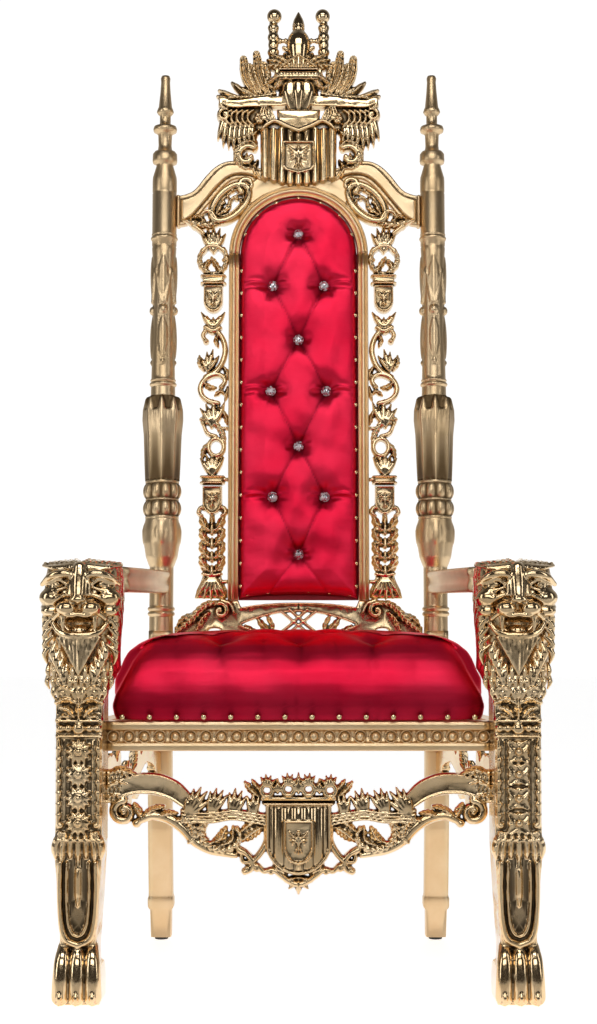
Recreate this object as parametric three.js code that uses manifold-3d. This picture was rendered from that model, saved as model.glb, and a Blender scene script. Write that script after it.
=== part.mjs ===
// A carved and gilded throne: lion legs in front, turned posts behind, a pierced crest and tufted upholstery.
// Millimetres, +Z up, the seat faces -Y. The origin is on the floor under the middle of the throne.
import * as THREE from 'three';
import { mergeVertices } from 'three/addons/utils/BufferGeometryUtils.js';
import Module from 'manifold-3d';

const wasm = await Module();
wasm.setup();

// Driving dimensions
const GAP = 0.3;                 // clearance between pieces that touch
const DEPTH = 656;               // paw fronts to the back of the crest
const FRONT = -DEPTH / 2;
const FOOT_Z = 6;                // height of the glides
const SEAT_Z = 460;              // top of the seat rails
const RAIL_LOW = 410;            // underside of the seat rails
const LEG_X = 360;               // middle of a lion leg
const LEG_HALF = 38;             // half width of the leg block
const LEG_FACE = FRONT + 14;     // front face of the leg block
const LEG_BACK = LEG_FACE + 100;
const LION_TOP = 730;
const POST_X = 269;              // axis of a turned post
const POST_TOP = 1725;
const BACK_Y = 231.3;            // middle of the back at seat height
const RAKE = 0.056;              // lean of the back, in radians
const FRAME_IN = 117.5;          // inner edge of the back frame from its middle
const FRAME_OUT = 139;
const FRAME_FOOT = 664;          // where the stiles stand on the lower back rail
const ARCH_Z = 1355;             // springing of the arched head
const FRAME_HALF = 16;           // half thickness of the back frame
const BORDER_TOP = 1396;         // where the pierced borders meet the crest rail
const ARM_LOW = 677;
const ARM_TOP = 721;
const CREST_FOOT = 1500;
const LAP_HALF = 132;            // half width of the lap where the crest is let into the crest rail
const LAP_TOP = 1549;
const SHIELD_HALF = 74;          // half width of the reeded shield
const CROWN_BALL_Z = 1851;
const CROWN_BALL_X = 48;
const CROWN_BALL_R = 15;

const GOLD = { color: 0xd9a441, roughness: 0.22, metalness: 1 };
const SATIN_GOLD = { color: 0xd8ab62, roughness: 0.38, metalness: 1 };
const RED = { color: 0xc4082b, roughness: 0.35, metalness: 0 };
const CRYSTAL = { color: 0xf4f6fa, roughness: 0.05, metalness: 0 };
const BLACK = { color: 0x17171a, roughness: 0.6, metalness: 0 };

// ---------- solids ----------
function solid(geometry) {
  const bare = geometry.clone();
  for (const name of Object.keys(bare.attributes)) {
    if (name !== 'position') bare.deleteAttribute(name);
  }
  const merged = mergeVertices(bare, 1e-3);
  return new wasm.Manifold(new wasm.Mesh({
    numProp: 3,
    vertProperties: Float32Array.from(merged.attributes.position.array),
    triVerts: Uint32Array.from(merged.index.array),
  }));
}

function join(...parts) {
  return parts.flat(Infinity).reduce((whole, part) => whole.add(part));
}

function mirrored(geometry) {
  const copy = geometry.clone().applyMatrix4(new THREE.Matrix4().makeScale(-1, 1, 1));
  const index = copy.index.array;
  for (let i = 0; i < index.length; i += 3) {
    [index[i], index[i + 1]] = [index[i + 1], index[i]];
  }
  return copy;
}

// A closed body through rings of equal length, each end closed by a fan.
function loft(rings) {
  const count = rings[0].length;
  const points = rings.flat();
  const index = [];
  for (let i = 0; i < rings.length - 1; i++) {
    for (let j = 0; j < count; j++) {
      const a = i * count + j;
      const b = i * count + (j + 1) % count;
      index.push(a, b, b + count, a, b + count, a + count);
    }
  }
  const last = (rings.length - 1) * count;
  for (let j = 1; j < count - 1; j++) {
    index.push(0, j + 1, j, last, last + j, last + j + 1);
  }
  const geometry = new THREE.BufferGeometry().setFromPoints(points);
  let volume = 0;
  for (let i = 0; i < index.length; i += 3) {
    const [a, b, c] = [points[index[i]], points[index[i + 1]], points[index[i + 2]]];
    volume += a.clone().cross(b).dot(c);
  }
  if (volume < 0) index.reverse();
  geometry.setIndex(index);
  return geometry;
}

const vec = (x, y, z) => new THREE.Vector3(x, y, z);

// Value at t of a list of evenly spaced values.
function along(list, t) {
  if (!Array.isArray(list)) return list;
  const place = t * (list.length - 1);
  const i = Math.min(Math.floor(place), list.length - 2);
  return THREE.MathUtils.lerp(list[i], list[i + 1], place - i);
}

// A carved strap, leaf or scroll along points [x, z] in the carving plane. It lies on the board's back plane
// and rises to a spine or a round back: half is its half width, deep how far it stands in front of depth y.
// side -1 gives its mirror image.
const BOARD = 9;
const SPINE = [[-1, 1], [1, 1], [0, -1]];

function ridge(points, half, deep, options = {}) {
  const { y = 0, steps = 3, section = SPINE, board = y + BOARD, side = 1 } = options;
  const curve = new THREE.CatmullRomCurve3(points.map(([x, z]) => vec(x * side, 0, z)));
  const rings = [];
  for (let i = 0; i <= steps; i++) {
    const t = i / steps;
    const p = curve.getPoint(t);
    const tangent = curve.getTangent(t);
    const across = vec(-tangent.z, 0, tangent.x);
    rings.push(section.map(([s, d]) => {
      const q = p.clone().addScaledVector(across, s * along(half, t));
      q.y = d > 0 ? board : along(y, t) + d * along(deep, t);
      return q;
    }));
  }
  return solid(loft(rings));
}

// Leaves are ridges that swell in the middle and end in a fine tip.
function leaf(points, half, deep, options = {}) {
  return ridge(points, [half * 0.6, half, half * 0.1], [deep * 0.9, deep, 0], { steps: 2, ...options });
}

function spiral(x, z, r0, r1, start, turns, count) {
  const points = [];
  for (let i = 0; i <= count; i++) {
    const r = THREE.MathUtils.lerp(r0, r1, i / count);
    const angle = start + turns * 2 * Math.PI * i / count;
    points.push([x + r * Math.cos(angle), z + r * Math.sin(angle)]);
  }
  return points;
}

// A closed ring of carving around an oval hole.
function hoop(x, z, rx, rz, tilt, half, deep, { y = 0, count = 10, side = 1 } = {}) {
  const at = (grow) => {
    const points = [];
    for (let i = 0; i < count; i++) {
      const angle = (i / count) * 2 * Math.PI;
      const p = new THREE.Vector2((rx + grow) * Math.cos(angle), (rz + grow) * Math.sin(angle));
      p.rotateAround(new THREE.Vector2(0, 0), tilt);
      points.push(new THREE.Vector2(side * (x + p.x), z + p.y));
    }
    return side > 0 ? points : points.reverse();
  };
  const shape = new THREE.Shape(at(half));
  shape.holes.push(new THREE.Path(at(-half)));
  return plate(shape, y - deep, y + deep);
}

// An outline in the carving plane, cut from a board between depths y0 and y1.
function plate(outline, y0, y1, bevel = 0) {
  const shape = outline instanceof THREE.Shape
    ? outline
    : new THREE.Shape(outline.map(([x, z]) => new THREE.Vector2(x, z)));
  const geometry = new THREE.ExtrudeGeometry(shape, {
    depth: y1 - y0 - 2 * bevel,
    curveSegments: 4,
    bevelEnabled: bevel > 0,
    bevelThickness: bevel,
    bevelSize: bevel,
    bevelOffset: -bevel,
    bevelSegments: 1,
  });
  geometry.translate(0, 0, bevel - (y1 - y0));
  geometry.rotateX(Math.PI / 2);
  geometry.translate(0, y0, 0);
  return solid(geometry);
}

function block(x0, x1, y0, y1, z0, z1) {
  const box = new THREE.BoxGeometry(x1 - x0, y1 - y0, z1 - z0);
  return solid(box.translate((x0 + x1) / 2, (y0 + y1) / 2, (z0 + z1) / 2));
}

function ball(x, y, z, rx, ry = rx, rz = rx, detail = 1) {
  const sphere = new THREE.IcosahedronGeometry(1, detail);
  return solid(sphere.scale(rx, ry, rz).translate(x, y, z));
}

// Turned work: profile rows are [z, radius, depth of the flutes]. flat < 1 squashes it from front to back.
function turned(rows, sides, waves = sides / 2, flat = 1) {
  const rings = rows.map(([z, radius, flute = 0]) => {
    const ring = [];
    for (let j = 0; j < sides; j++) {
      const angle = (j / sides) * 2 * Math.PI;
      const r = radius - flute * (0.5 - 0.5 * Math.cos(waves * angle));
      ring.push(vec(r * Math.cos(angle), flat * r * Math.sin(angle), z));
    }
    return ring;
  });
  return loft(rings);
}

// ---------- heraldic parts shared by the shields ----------
// A small displayed eagle in low relief: a body with head and tail, and two raised wings.
function eagle(x, z, size, y) {
  const wing = (side) => ridge([[0, -size * 0.1], [size * 0.38, 0], [size * 0.46, size * 0.42]],
    [size * 0.2, size * 0.16, size * 0.04], size * 0.12, { y, steps: 2, side });
  const body = ridge([[0, -size * 0.55], [0, 0], [0, size * 0.5]], [size * 0.22, size * 0.16, size * 0.08],
    size * 0.16, { y, steps: 2 });
  return [body, wing(1), wing(-1)].map((part) => part.translate(x, 0, z));
}

// A shield with a raised edge and an eagle on it.
function escutcheon(x, top, half, height, y, side = 1) {
  const edge = (grow) => [
    [side * x - half - grow, top + grow], [side * x - half - grow, top - height * 0.68],
    [side * x, top - height - grow * 1.4],
    [side * x + half + grow, top - height * 0.68], [side * x + half + grow, top + grow],
  ];
  const field = plate(edge(-2), y - 8, y - 3);
  const board = plate(edge(3), y - 5, y + 9).subtract(field);
  return join(board, eagle(side * x, top - height * 0.46, half * 1.25, y - 1));
}

// ---------- lion legs ----------
// Half width, half depth and lock depth of the mane and chest at each height.
const MANE = [
  [501, 36, 44, 0], [524, 48, 50, 6], [550, 65, 62, 8], [584, 62, 62, 5], [620, 66, 68, 8], [664, 68, 71, 6],
  [712, 65, 69, 4], [LION_TOP, 50, 58, 0],
];
const FACE_Y = FRONT + 14;       // plane of the lion's cheeks
const MANE_POINTS = 16;
const ROUND = [[-1, 1], [1, 1], [0.75, -0.6], [-0.75, -0.6]];

function lionHead() {
  const rings = MANE.map(([z, half, deep, lock], row) => {
    const ring = [];
    for (let j = 0; j < MANE_POINTS; j++) {
      const angle = ((j + 0.5) / MANE_POINTS) * 2 * Math.PI;
      const c = Math.cos(angle);
      const s = Math.sin(angle);
      const square = (Math.abs(c) ** 3 + Math.abs(s) ** 3) ** (-1 / 3);
      const wave = lock * ((j + row) % 2);
      ring.push(vec((half * square - wave) * c, FACE_Y + 70 + (deep * square - wave) * s, z));
    }
    return ring;
  });
  const face = [-1, 1].map((side) => [
    ridge([[2, 708], [28, 706], [60, 690]], [5, 8, 3], [10, 13, 4], { y: FACE_Y - 1, side, steps: 2 }),
    ball(side * 33, FACE_Y + 6, 689, 13, 12, 7, 0),
    ridge([[1, 655], [20, 653], [40, 650]], [12, 14, 7], [14, 20, 8],
      { y: FACE_Y + 3, side, section: ROUND, steps: 2 }),
    ridge([[30, 606], [58, 618], [66, 646]], [9, 12, 5], [9, 12, 4], { y: FACE_Y + 4, side, steps: 2 }),
    leaf([[25, 638], [25, 624], [24, 610]], 5, 8, { y: FACE_Y + 4, side }),
    leaf([[40, 592], [46, 562], [34, 528]], 15, 12, { y: FACE_Y + 8, side }),
  ]);
  const bridge = ridge([[0, 712], [0, 690], [0, 662]], [12, 14, 17], [8, 14, 19],
    { y: FACE_Y + 5, steps: 2, section: ROUND });
  const jaw = ridge([[-32, 612], [0, 604], [32, 612]], [6, 10, 6], [9, 15, 9], { y: FACE_Y + 3, steps: 2 });
  const beard = ridge([[0, 606], [0, 580], [0, 545]], [27, 16, 2], [13, 10, 5], { y: FACE_Y + 5, steps: 2 });
  const mouth = block(-22, 22, FACE_Y - 30, FACE_Y + 16, 612, 640);
  return join(solid(loft(rings)).subtract(mouth), face, bridge, jaw, beard);
}

const TOE = [[-1, 1], [1, 1], [0.9, -0.4], [0, -1], [-0.9, -0.4]];

// One rosette, a fluted cone: six petals on one leg, four on the other.
function rosette(z, petals) {
  const rim = [];
  const top = [];
  for (let i = 0; i < petals * 2; i++) {
    const r = i % 2 ? 12 : 18.5;
    const angle = (i / petals + 0.25) * Math.PI;
    rim.push(vec(r * Math.cos(angle), LEG_FACE + 2, z + r * Math.sin(angle)));
    top.push(vec(0.3 * r * Math.cos(angle), LEG_FACE - 10, z + 0.3 * r * Math.sin(angle)));
  }
  return solid(loft([rim, top]));
}

// Half width, front and back of the leg block from the paw up to the collar.
const BLOCK = [
  [FOOT_Z + GAP, 34, 4, 84], [84, 29, 4, 84], [180, 34, 1, 98],
  [262, LEG_HALF, 0, 100], [505, LEG_HALF, 0, 100],
];

function lionLeg(petals) {
  const rings = BLOCK.map(([z, half, front, back]) => [
    vec(-half, LEG_FACE + front, z), vec(half, LEG_FACE + front, z),
    vec(half, LEG_FACE + back, z), vec(-half, LEG_FACE + back, z),
  ]);
  const panel = [416, 380, 340, 299].map((z) => rosette(z, petals));
  const edges = [-1, 1].map((side) => [
    plate(boxOutline(side, 27, 37, 300, 434), LEG_FACE - 5, LEG_FACE + 2),
    ball(side * 29, LEG_FACE - 3, 448, 9, 9, 9, 0),
    ball(side * 30, LEG_FACE - 3, 292, 8, 8, 8, 0),
    leaf([[4, 504], [24, 520], [36, 500]], 12, 13, { y: LEG_FACE, side }),
    ridge([[22, 238], [22, 150], [17, 120], [0, 110]], 6, 9, { y: LEG_FACE, steps: 4, side }),
  ]);
  const hem = [[-37, 280], [-38, 248], [-30, 240], [-22, 247], [-11, 238], [0, 246], [11, 238], [22, 247],
    [30, 240], [38, 248], [37, 280]];
  const skirt = plate(hem, LEG_FACE - 7, LEG_FACE + 3);
  const knuckle = { y: [LEG_FACE + 2, FRONT + 16, FRONT + 12, FRONT + 14], section: TOE, board: FRONT + 40 };
  const toes = [-25, 0, 25].map((x) => ridge([[x, 96], [x, 64], [x, 30], [x, FOOT_Z + GAP]],
    [11, 13, 14, 13], [10, 14, 18, 14], knuckle));
  const heel = block(-37, 37, FRONT + 20, FRONT + 104, FOOT_Z + GAP, 62);
  const boss = ball(0, LEG_FACE - 4, 452, 12, 10, 12, 0);
  return join(solid(loft(rings)), panel, edges, boss, skirt, toes, heel, lionHead());
}

// ---------- rear posts ----------
const POST = [
  [597, 23.5], [636, 23.5], [638, 26.5], [648, 26.5], [650, 23.5], [729, 24], [736, 29], [778, 35.5],
  [824, 35.5], [828, 31], [844, 36, 6], [861, 31], [878, 36, 6], [893, 31],
  [960, 35, 5], [1028, 38, 9], [1064, 27, 4], [1089, 24], [1092, 26.5], [1100, 23, 0],
  [1225, 20, 3], [1240, 27, 5], [1256, 20, 3], [1350, 24.5, 2], [1384, 24], [1388, 26.5], [1395, 24.5],
  [1509, 24.5], [1537, 17], [1543, 24.5], [1566, 24], [1570, 14], [1606, 14], [1608, 23.5], [1621, 23],
  [1624, 11], [1645, 11], [1648, 17.3], [1664, 15], [POST_TOP, 8.5],
];
// Height, set back from the middle of the back, half width and half depth of the sabre leg.
const LEG_PATH = [[FOOT_Z + GAP, 50, 20, 22], [62, 40, 21, 23], [66, 39, 25.5, 26], [84, 36, 25.5, 26],
  [88, 35, 23.5, 24], [220, 12, 23.5, 24], [370, 1, 23.5, 24], [604, 8, 23.5, 23.5]];

const rakeMatrix = new THREE.Matrix4()
  .makeTranslation(0, BACK_Y - Math.sin(RAKE) * SEAT_Z, SEAT_Z * (1 - Math.cos(RAKE)))
  .multiply(new THREE.Matrix4().makeRotationX(-RAKE));

function rearPost() {
  const shaft = turned(POST, 8).applyMatrix4(rakeMatrix);
  const leg = loft(LEG_PATH.map(([z, back, half, deep]) => [
    vec(-half, BACK_Y + back - deep, z), vec(half, BACK_Y + back - deep, z),
    vec(half, BACK_Y + back + deep, z), vec(-half, BACK_Y + back + deep, z),
  ]));
  return join(solid(shaft), solid(leg));
}

// ---------- seat frame ----------
const BEAD_PITCH = 26;
const BEADS = 25;
const RAIL_FACE = FRONT + 95;

function frontRail() {
  const end = LEG_X - LEG_HALF - GAP;
  const section = [[SEAT_Z, 26], [RAIL_LOW, 26], [RAIL_LOW, 0], [423, 0], [425, 5], [444, 5], [447, -4],
    [SEAT_Z, -4]];
  const rail = loft([-end, end].map((x) => section.map(([z, y]) => vec(x, RAIL_FACE + y, z))));
  const beads = [];
  for (let i = 0; i < BEADS; i++) {
    const x = (i - (BEADS - 1) / 2) * BEAD_PITCH;
    beads.push(solid(turned([[0, 9], [9, 3]], 6).rotateX(Math.PI / 2).translate(x, RAIL_FACE + 6, 434)));
  }
  return join(solid(rail), beads);
}

// A bar between two points of the plan, as used for the side rails and the arms.
function bar(from, to, halfWidth, section) {
  const a = vec(from[0], from[1], 0);
  const b = vec(to[0], to[1], 0);
  const side = b.clone().sub(a).normalize().cross(vec(0, 0, 1)).multiplyScalar(halfWidth);
  return loft([a, b].map((end) => section.map(([s, z]) => end.clone().addScaledVector(side, s).setZ(z))));
}

const RAIL_SECTION = [[-1, RAIL_LOW], [1, RAIL_LOW], [1, SEAT_Z], [-1, SEAT_Z]];
const ARM_SECTION = [[-1, ARM_LOW + 6], [-0.7, ARM_LOW], [0.7, ARM_LOW], [1, ARM_LOW + 6],
  [0.82, ARM_LOW + 17], [0.82, ARM_TOP - 15], [1, ARM_TOP - 8], [0.75, ARM_TOP], [-0.75, ARM_TOP], [-1, ARM_TOP - 8],
  [-0.82, ARM_TOP - 15], [-0.82, ARM_LOW + 17]];

// ---------- carved stretchers ----------
const APRON_Y = FRONT + 92;

function frontApron() {
  const half = (side) => {
    const o = { y: APRON_Y, side };
    return [
      plate(boxOutline(side, 292, LEG_X - LEG_HALF - GAP, 330, 380), APRON_Y - 12, APRON_Y + BOARD),
      ridge(spiral(292, 309, 19, 6, Math.PI / 2, -1, 5), [9, 8, 6], 14, { ...o, steps: 5 }),
      ridge([[300, 346], [261, 355], [232, 353], [205, 343], [176, 318]], [16, 19, 19, 14], 13,
        { ...o, steps: 4, section: ROUND }),
      ridge([[268, 294], [243, 304], [216, 295], [175, 258], [148, 244], [108, 238], [86, 236], [84, 212]],
        [9, 10, 11, 9, 8, 5], 12, { ...o, steps: 7 }),
      leaf([[226, 300], [230, 310], [242, 322]], 8, 10, o),
      leaf([[200, 282], [206, 294], [216, 306]], 8, 10, o),
      ...[163, 137, 108, 78].map((x) => leaf([[x, 304], [x + 5, 322], [x, 349]], 14, 12, o)),
      ridge([[180, 306], [142, 299], [108, 302], [50, 297]], [10, 12, 9], 12, { ...o, steps: 3 }),
      ridge([[148, 298], [150, 270], [131, 250], [106, 256], [104, 280]], [10, 8, 5], 12, { ...o, steps: 4 }),
      ridge([[62, 286], [80, 268], [90, 262]], [6, 14, 6], 12, { ...o, steps: 2 }),
      ridge([[56, 286], [56, 262], [64, 240], [78, 222]], 6, 10, { ...o, steps: 2 }),
      ridge([[84, 216], [52, 206], [0, 186]], [7, 6, 10], 11, { ...o, steps: 2 }),
      leaf([[70, 330], [82, 346], [91, 358]], 8, 8, o),
      hoop(48, 342, 10, 11, 0, 6, BOARD, { ...o, count: 6 }),
      hoop(15, 343, 11, 11, 0, 6, BOARD, { ...o, count: 6 }),
      leaf([[46, 352], [52, 362], [50, 375]], 12, 9, o), leaf([[24, 352], [30, 362], [28, 375]], 10, 9, o),
    ];
  };
  const shield = [[-56, 331], [-54, 252], [-34, 222], [0, 203], [34, 222], [54, 252], [56, 331]];
  const drop = leaf([[0, 208], [0, 192], [0, 176]], 13, 11, { y: APRON_Y });
  const tip = leaf([[0, 340], [0, 358], [0, 377]], 9, 11, { y: APRON_Y });
  return join(half(1), half(-1), plate(shield, APRON_Y - 14, APRON_Y + BOARD),
    escutcheon(0, 300, 25, 72, APRON_Y - 14), drop, tip);
}

// A side stretcher is made flat, then turned along the seat's side: two arched bands meet at a drop leaf.
const SIDE_FROM = vec(356, LEG_BACK + 2.6, 0);
const SIDE_TO = vec(274, BACK_Y - 24.6, 0);
const SIDE_SPAN = SIDE_FROM.distanceTo(SIDE_TO);

function sideApron() {
  const half = (side) => [
    ridge([[SIDE_SPAN / 2 + 20, 348], [160, 368], [110, 376], [60, 352], [-4, 330]], [18, 17, 15, 13], 11,
      { steps: 5, side }),
    ridge(spiral(180, 322, 20, 6, Math.PI / 2, -1, 6), [8, 7, 5], 10, { steps: 6, side }),
    leaf([[44, 338], [62, 372], [58, 396]], 14, 9, { side }),
  ];
  return join(half(1), half(-1), leaf([[0, 350], [0, 312], [0, 276]], 24, 12))
    .trimByPlane([-1, 0, 0], -SIDE_SPAN / 2)
    .trimByPlane([1, 0, 0], -SIDE_SPAN / 2);
}

// ---------- the back ----------
const MOULDING = [[1, FRAME_HALF], [0, FRAME_HALF], [0, -10], [0.2, -16], [0.35, -12], [0.55, -18],
  [0.74, -12], [0.88, -16], [1, -10]];

function stile() {
  const ring = (z) => MOULDING.map(([s, y]) => vec(FRAME_IN + s * (FRAME_OUT - FRAME_IN), y, z));
  return loft([ring(FRAME_FOOT + GAP), ring(ARCH_Z - GAP)]);
}

const ARCH_STEPS = 10;

function arch() {
  const rings = [];
  for (let i = 0; i <= ARCH_STEPS; i++) {
    const angle = (i / ARCH_STEPS) * Math.PI;
    rings.push(MOULDING.map(([s, y]) => {
      const r = FRAME_IN + s * (FRAME_OUT - FRAME_IN);
      return vec(r * Math.cos(angle), y, ARCH_Z + r * Math.sin(angle));
    }));
  }
  return solid(loft(rings));
}

const WING_END = 244.2;

function crestRail() {
  const wing = (side) => {
    const o = { side };
    const outline = [[0, 1520], [78, 1532], [112, 1548], [142, 1549], [165, 1538], [185, 1518], [208, 1488],
      [WING_END, 1476], [WING_END, 1414], [220, 1418], [202, 1432], [180, 1459], [150, 1494], [117, 1514],
      [88, 1506], [52, 1480], [0, 1480]];
    return [
      plate(outline.map(([x, z]) => [side * x, z]), -15, 13),
      ridge([[222, 1420], [190, 1410], [166, 1416], [146, 1432]], [7, 11, 9], 12, o),
      hoop(137, 1462, 44, 26, -0.78, 8, 11, { count: 8, side }),
      leaf([[162, 1438], [136, 1462], [110, 1488]], 10, 9, o),
    ];
  };
  const lap = block(-LAP_HALF, LAP_HALF, -40, -3, CREST_FOOT - 6, LAP_TOP + 10);
  return join(arch(), wing(1), wing(-1)).subtract(lap);
}

// Pierced border: scrolls, leaves and two small shields in a column beside the stile.
function border(side) {
  const o = { side };
  const spray = (z, lift, half, spread) => spread.map((x) => leaf(
    [[170, z], [(x + 170) / 2, z + lift * 0.5], [x, z + lift]], half, 10, o));
  const scroll = (x, z, rx, rz) => hoop(x, z, rx, rz, 0, 7, BOARD, { count: 7, side });
  const cap = (low, top, x0 = FRAME_OUT, x1 = 193) => plate(boxOutline(side, x0, x1, low, top), -11, BOARD);
  const upper = [
    spray(1350, 44, 13, [152, 170, 188]),
    scroll(167, 1336, 16, 18),
    cap(1291, 1316),
    escutcheon(171, 1290, 19, 50, -6, side),
  ];
  const middle = [
    spray(1196, 66, 11, [151, 191]),
    scroll(170, 1163, 20, 38),
    leaf([[188, 1136], [174, 1162], [160, 1182]], 10, 9, o),
    scroll(170, 1092, 18, 26),
    spray(1030, 44, 11, [150, 192]),
    ridge([[190, 1036], [172, 1008], [160, 984], [146, 958]], [14, 9, 7], 10, { ...o, steps: 2 }),
    scroll(165, 960, 17, 24),
    spray(908, 34, 11, [148, 194]),
  ];
  const lower = [
    cap(890, 912),
    escutcheon(171, 887, 20, 54, -6, side),
    spray(782, 70, 13, [151, 191]),
    spray(752, 44, 14, [146, 194]),
    spray(714, 44, 14, [146, 194]),
    cap(673, 718, FRAME_OUT, 194),
  ];
  const whole = join(upper, middle, lower);
  return whole.trimByPlane([side, 0, 0], FRAME_OUT + GAP).trimByPlane([0, 0, -1], -BORDER_TOP);
}

function boxOutline(side, x0, x1, z0, z1) {
  return [[side * x0, z0], [side * x1, z0], [side * x1, z1], [side * x0, z1]];
}

function lowerRail() {
  const end = 243;
  const outline = new THREE.Shape();
  outline.moveTo(-end, 560);
  outline.lineTo(end, 560);
  outline.lineTo(end, 612);
  outline.quadraticCurveTo(205, 622, 196, 646);
  outline.quadraticCurveTo(184, 666, 160, FRAME_FOOT);
  outline.lineTo(FRAME_IN, FRAME_FOOT);
  outline.lineTo(FRAME_IN - 4, 650);
  outline.quadraticCurveTo(0, 662, -FRAME_IN + 4, 650);
  outline.lineTo(-FRAME_IN, FRAME_FOOT);
  outline.lineTo(-160, FRAME_FOOT);
  outline.quadraticCurveTo(-184, 666, -196, 646);
  outline.quadraticCurveTo(-205, 622, -end, 612);
  const lens = new THREE.Path();
  lens.moveTo(-116, 616);
  lens.quadraticCurveTo(0, 664, 116, 616);
  lens.quadraticCurveTo(0, 572, -116, 616);
  outline.holes.push(lens);
  const straps = [-1, 1].map((side) => [
    ridge([[-44, 590], [-8, 628], [20, 648]], 6, 8, { steps: 2, side }),
    leaf([[50, 590], [76, 612], [90, 630]], 10, 8, { side }),
    ridge(spiral(156, 644, 15, 5, Math.PI * 0.9, -1, 6), [6, 6, 4], 20, { steps: 5, side }),
    leaf([[164, 652], [196, 636], [234, 604]], 16, 20, { side }),
  ]);
  return join(plate(outline, -14, 14), straps);
}

// The outline of the upholstered panel: straight sides under a half circle.
function panelOutline(inset) {
  const r = FRAME_IN - inset;
  const outline = [[-r, FRAME_FOOT + inset], [r, FRAME_FOOT + inset]];
  for (let i = 0; i <= ARCH_STEPS; i++) {
    const angle = (i / ARCH_STEPS) * Math.PI;
    outline.push([r * Math.cos(angle), ARCH_Z + r * Math.sin(angle)]);
  }
  return outline;
}

// Button places on the back, alternately one and two.
const BUTTONS = [[0, 1394], [-51, 1289], [51, 1289], [0, 1180], [-55, 1077], [55, 1077], [0, 967], [-51, 866],
  [51, 866], [0, 753]];
const BUTTON_R = 10;
const PAD_FACE = -24;            // front of the plain back cushion

function buttonAt([x, z], rows, sides) {
  return turned(rows, sides).rotateX(Math.PI / 2).translate(x, 0, z);
}

// ---------- crest ----------
function reededShield() {
  const reeds = 9;
  const pitch = 2 * SHIELD_HALF / reeds;
  const ring = (z, drop) => {
    const front = [];
    for (let i = 0; i <= 2 * reeds; i++) {
      const x = -SHIELD_HALF + i * pitch / 2;
      const sag = 8 * (1 - (x / SHIELD_HALF) ** 2);
      front.push(vec(x, i % 2 ? -20 : -12, z - drop * (sag + (i % 2 ? 6 : 0))));
    }
    return [vec(-SHIELD_HALF, 12, z), ...front, vec(SHIELD_HALF, 12, z)];
  };
  return solid(loft([ring(CREST_FOOT + 9, 1), ring(1626, 0)]));
}

function crest() {
  const half = (side) => {
    const o = { side };
    return [
      leaf([[94, 1684], [106, 1728], [113, 1762]], 15, 11, { ...o, y: -3 }),
      leaf([[64, 1684], [79, 1730], [84, 1770]], 14, 11, { ...o, y: -5 }),
      leaf([[110, 1676], [126, 1688], [141, 1710]], 9, 9, o),
      leaf([[134, 1670], [146, 1680], [159, 1693]], 8, 9, o),
      ridge([[36, 1666], [100, 1670], [154, 1654]], [18, 18, 13], [14, 15, 10],
        { ...o, y: -5, steps: 2, section: ROUND }),
      ridge([[60, 1640], [106, 1634], [152, 1642]], [16, 20, 14], 12, { ...o, steps: 2 }),
      ball(side * 80, -8, 1633, 13, 12, 13, 0),
      ...[[146, 160, 1592], [126, 138, 1576], [104, 108, 1572]].map(([x, tip, z]) =>
        leaf([[x - 4, 1632], [x, 1606], [tip, z]], 13, 12, o)),
      ridge(spiral(98, 1549, 24, 9, Math.PI * 0.75, 0.9, 5), [8, 8, 6], 14, { ...o, steps: 5 }),
      ridge([[90, 1572], [76, 1590], [68, 1616]], 7, 10, { ...o, steps: 1 }),
      leaf([[70, 1534], [88, 1524], [80, 1500]], 9, 13, o),
      ridge([[40, 1690], [50, 1706], [42, 1722], [60, 1738]], [9, 6, 8], 12, { ...o, steps: 2 }),
      leaf([[20, 1732], [46, 1748], [70, 1742]], 12, 12, o),
      leaf([[14, 1734], [30, 1752], [42, 1768]], 11, 13, o),
      solid(turned([[1744, 8], [1770, 9], [1774, 12], [1783, 9], [1822, 9], [1827, 12], [1840, 8]], 6)
        .translate(side * CROWN_BALL_X, 0, 0)),
      ball(side * CROWN_BALL_X, 0, CROWN_BALL_Z, CROWN_BALL_R, CROWN_BALL_R, CROWN_BALL_R, 1),
      block(...[side * 18, side * 44].sort((a, b) => a - b), -5, 5, 1789, 1799),
    ];
  };
  const helmet = solid(turned([[1634, 26, 6], [1660, 43, 9], [1700, 38, 6]], 12, 6, 0.55));
  const collar = plate([[-70, 1616], [-40, 1632], [-40, 1644], [40, 1644], [40, 1632], [70, 1616],
    [44, 1614], [0, 1602], [-44, 1614]], -25, 0);
  const band = plate(boxOutline(1, -36, 36, 1708, 1728), -20, BOARD);
  const coronet = plate([[-37, 1727], [37, 1727], [18, 1744], [0, 1758], [-18, 1744]], -17, BOARD);
  const lotus = [0, -26, 26].map((x) => leaf(
    [[x * 0.3, 1716], [x * 0.8, 1700], [x, 1674 + Math.abs(x) * 0.4]], 13, 12, { y: -14 }));
  const dome = solid(turned([[1750, 20], [1782, 24], [1798, 24], [1814, 18], [1822, 10], [1828, 12.5],
    [1834, 10], [1860, 1.5]], 8));
  const lap = block(-LAP_HALF, LAP_HALF, -3 - GAP, 40, CREST_FOOT - 20, LAP_TOP + GAP);
  return join(reededShield(), half(1), half(-1), helmet, collar, band, coronet, lotus, dome,
    leaf([[0, 1740], [0, 1756], [0, 1776]], 15, 15), escutcheon(0, 1579, 30, 60, -20)).subtract(lap);
}

// ---------- seat cushion ----------
// Half width in front and at the lions, then the front, at each height.
const CUSHION = [[SEAT_Z + 2, 312, 4], [480, 316, 0], [512, 298, 2], [545, 279, 8], [575, 272, 18],
  [594, 258, 36], [603, 225, 70]];
const CUSHION_FRONT = FRONT + 84;
const CUSHION_BACK = BACK_Y - 26;
const CUSHION_WIDEST = 318;      // half width behind the lions
const CUSHION_FLARE = 26;        // how far it spreads there from its width between the lions

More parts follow.
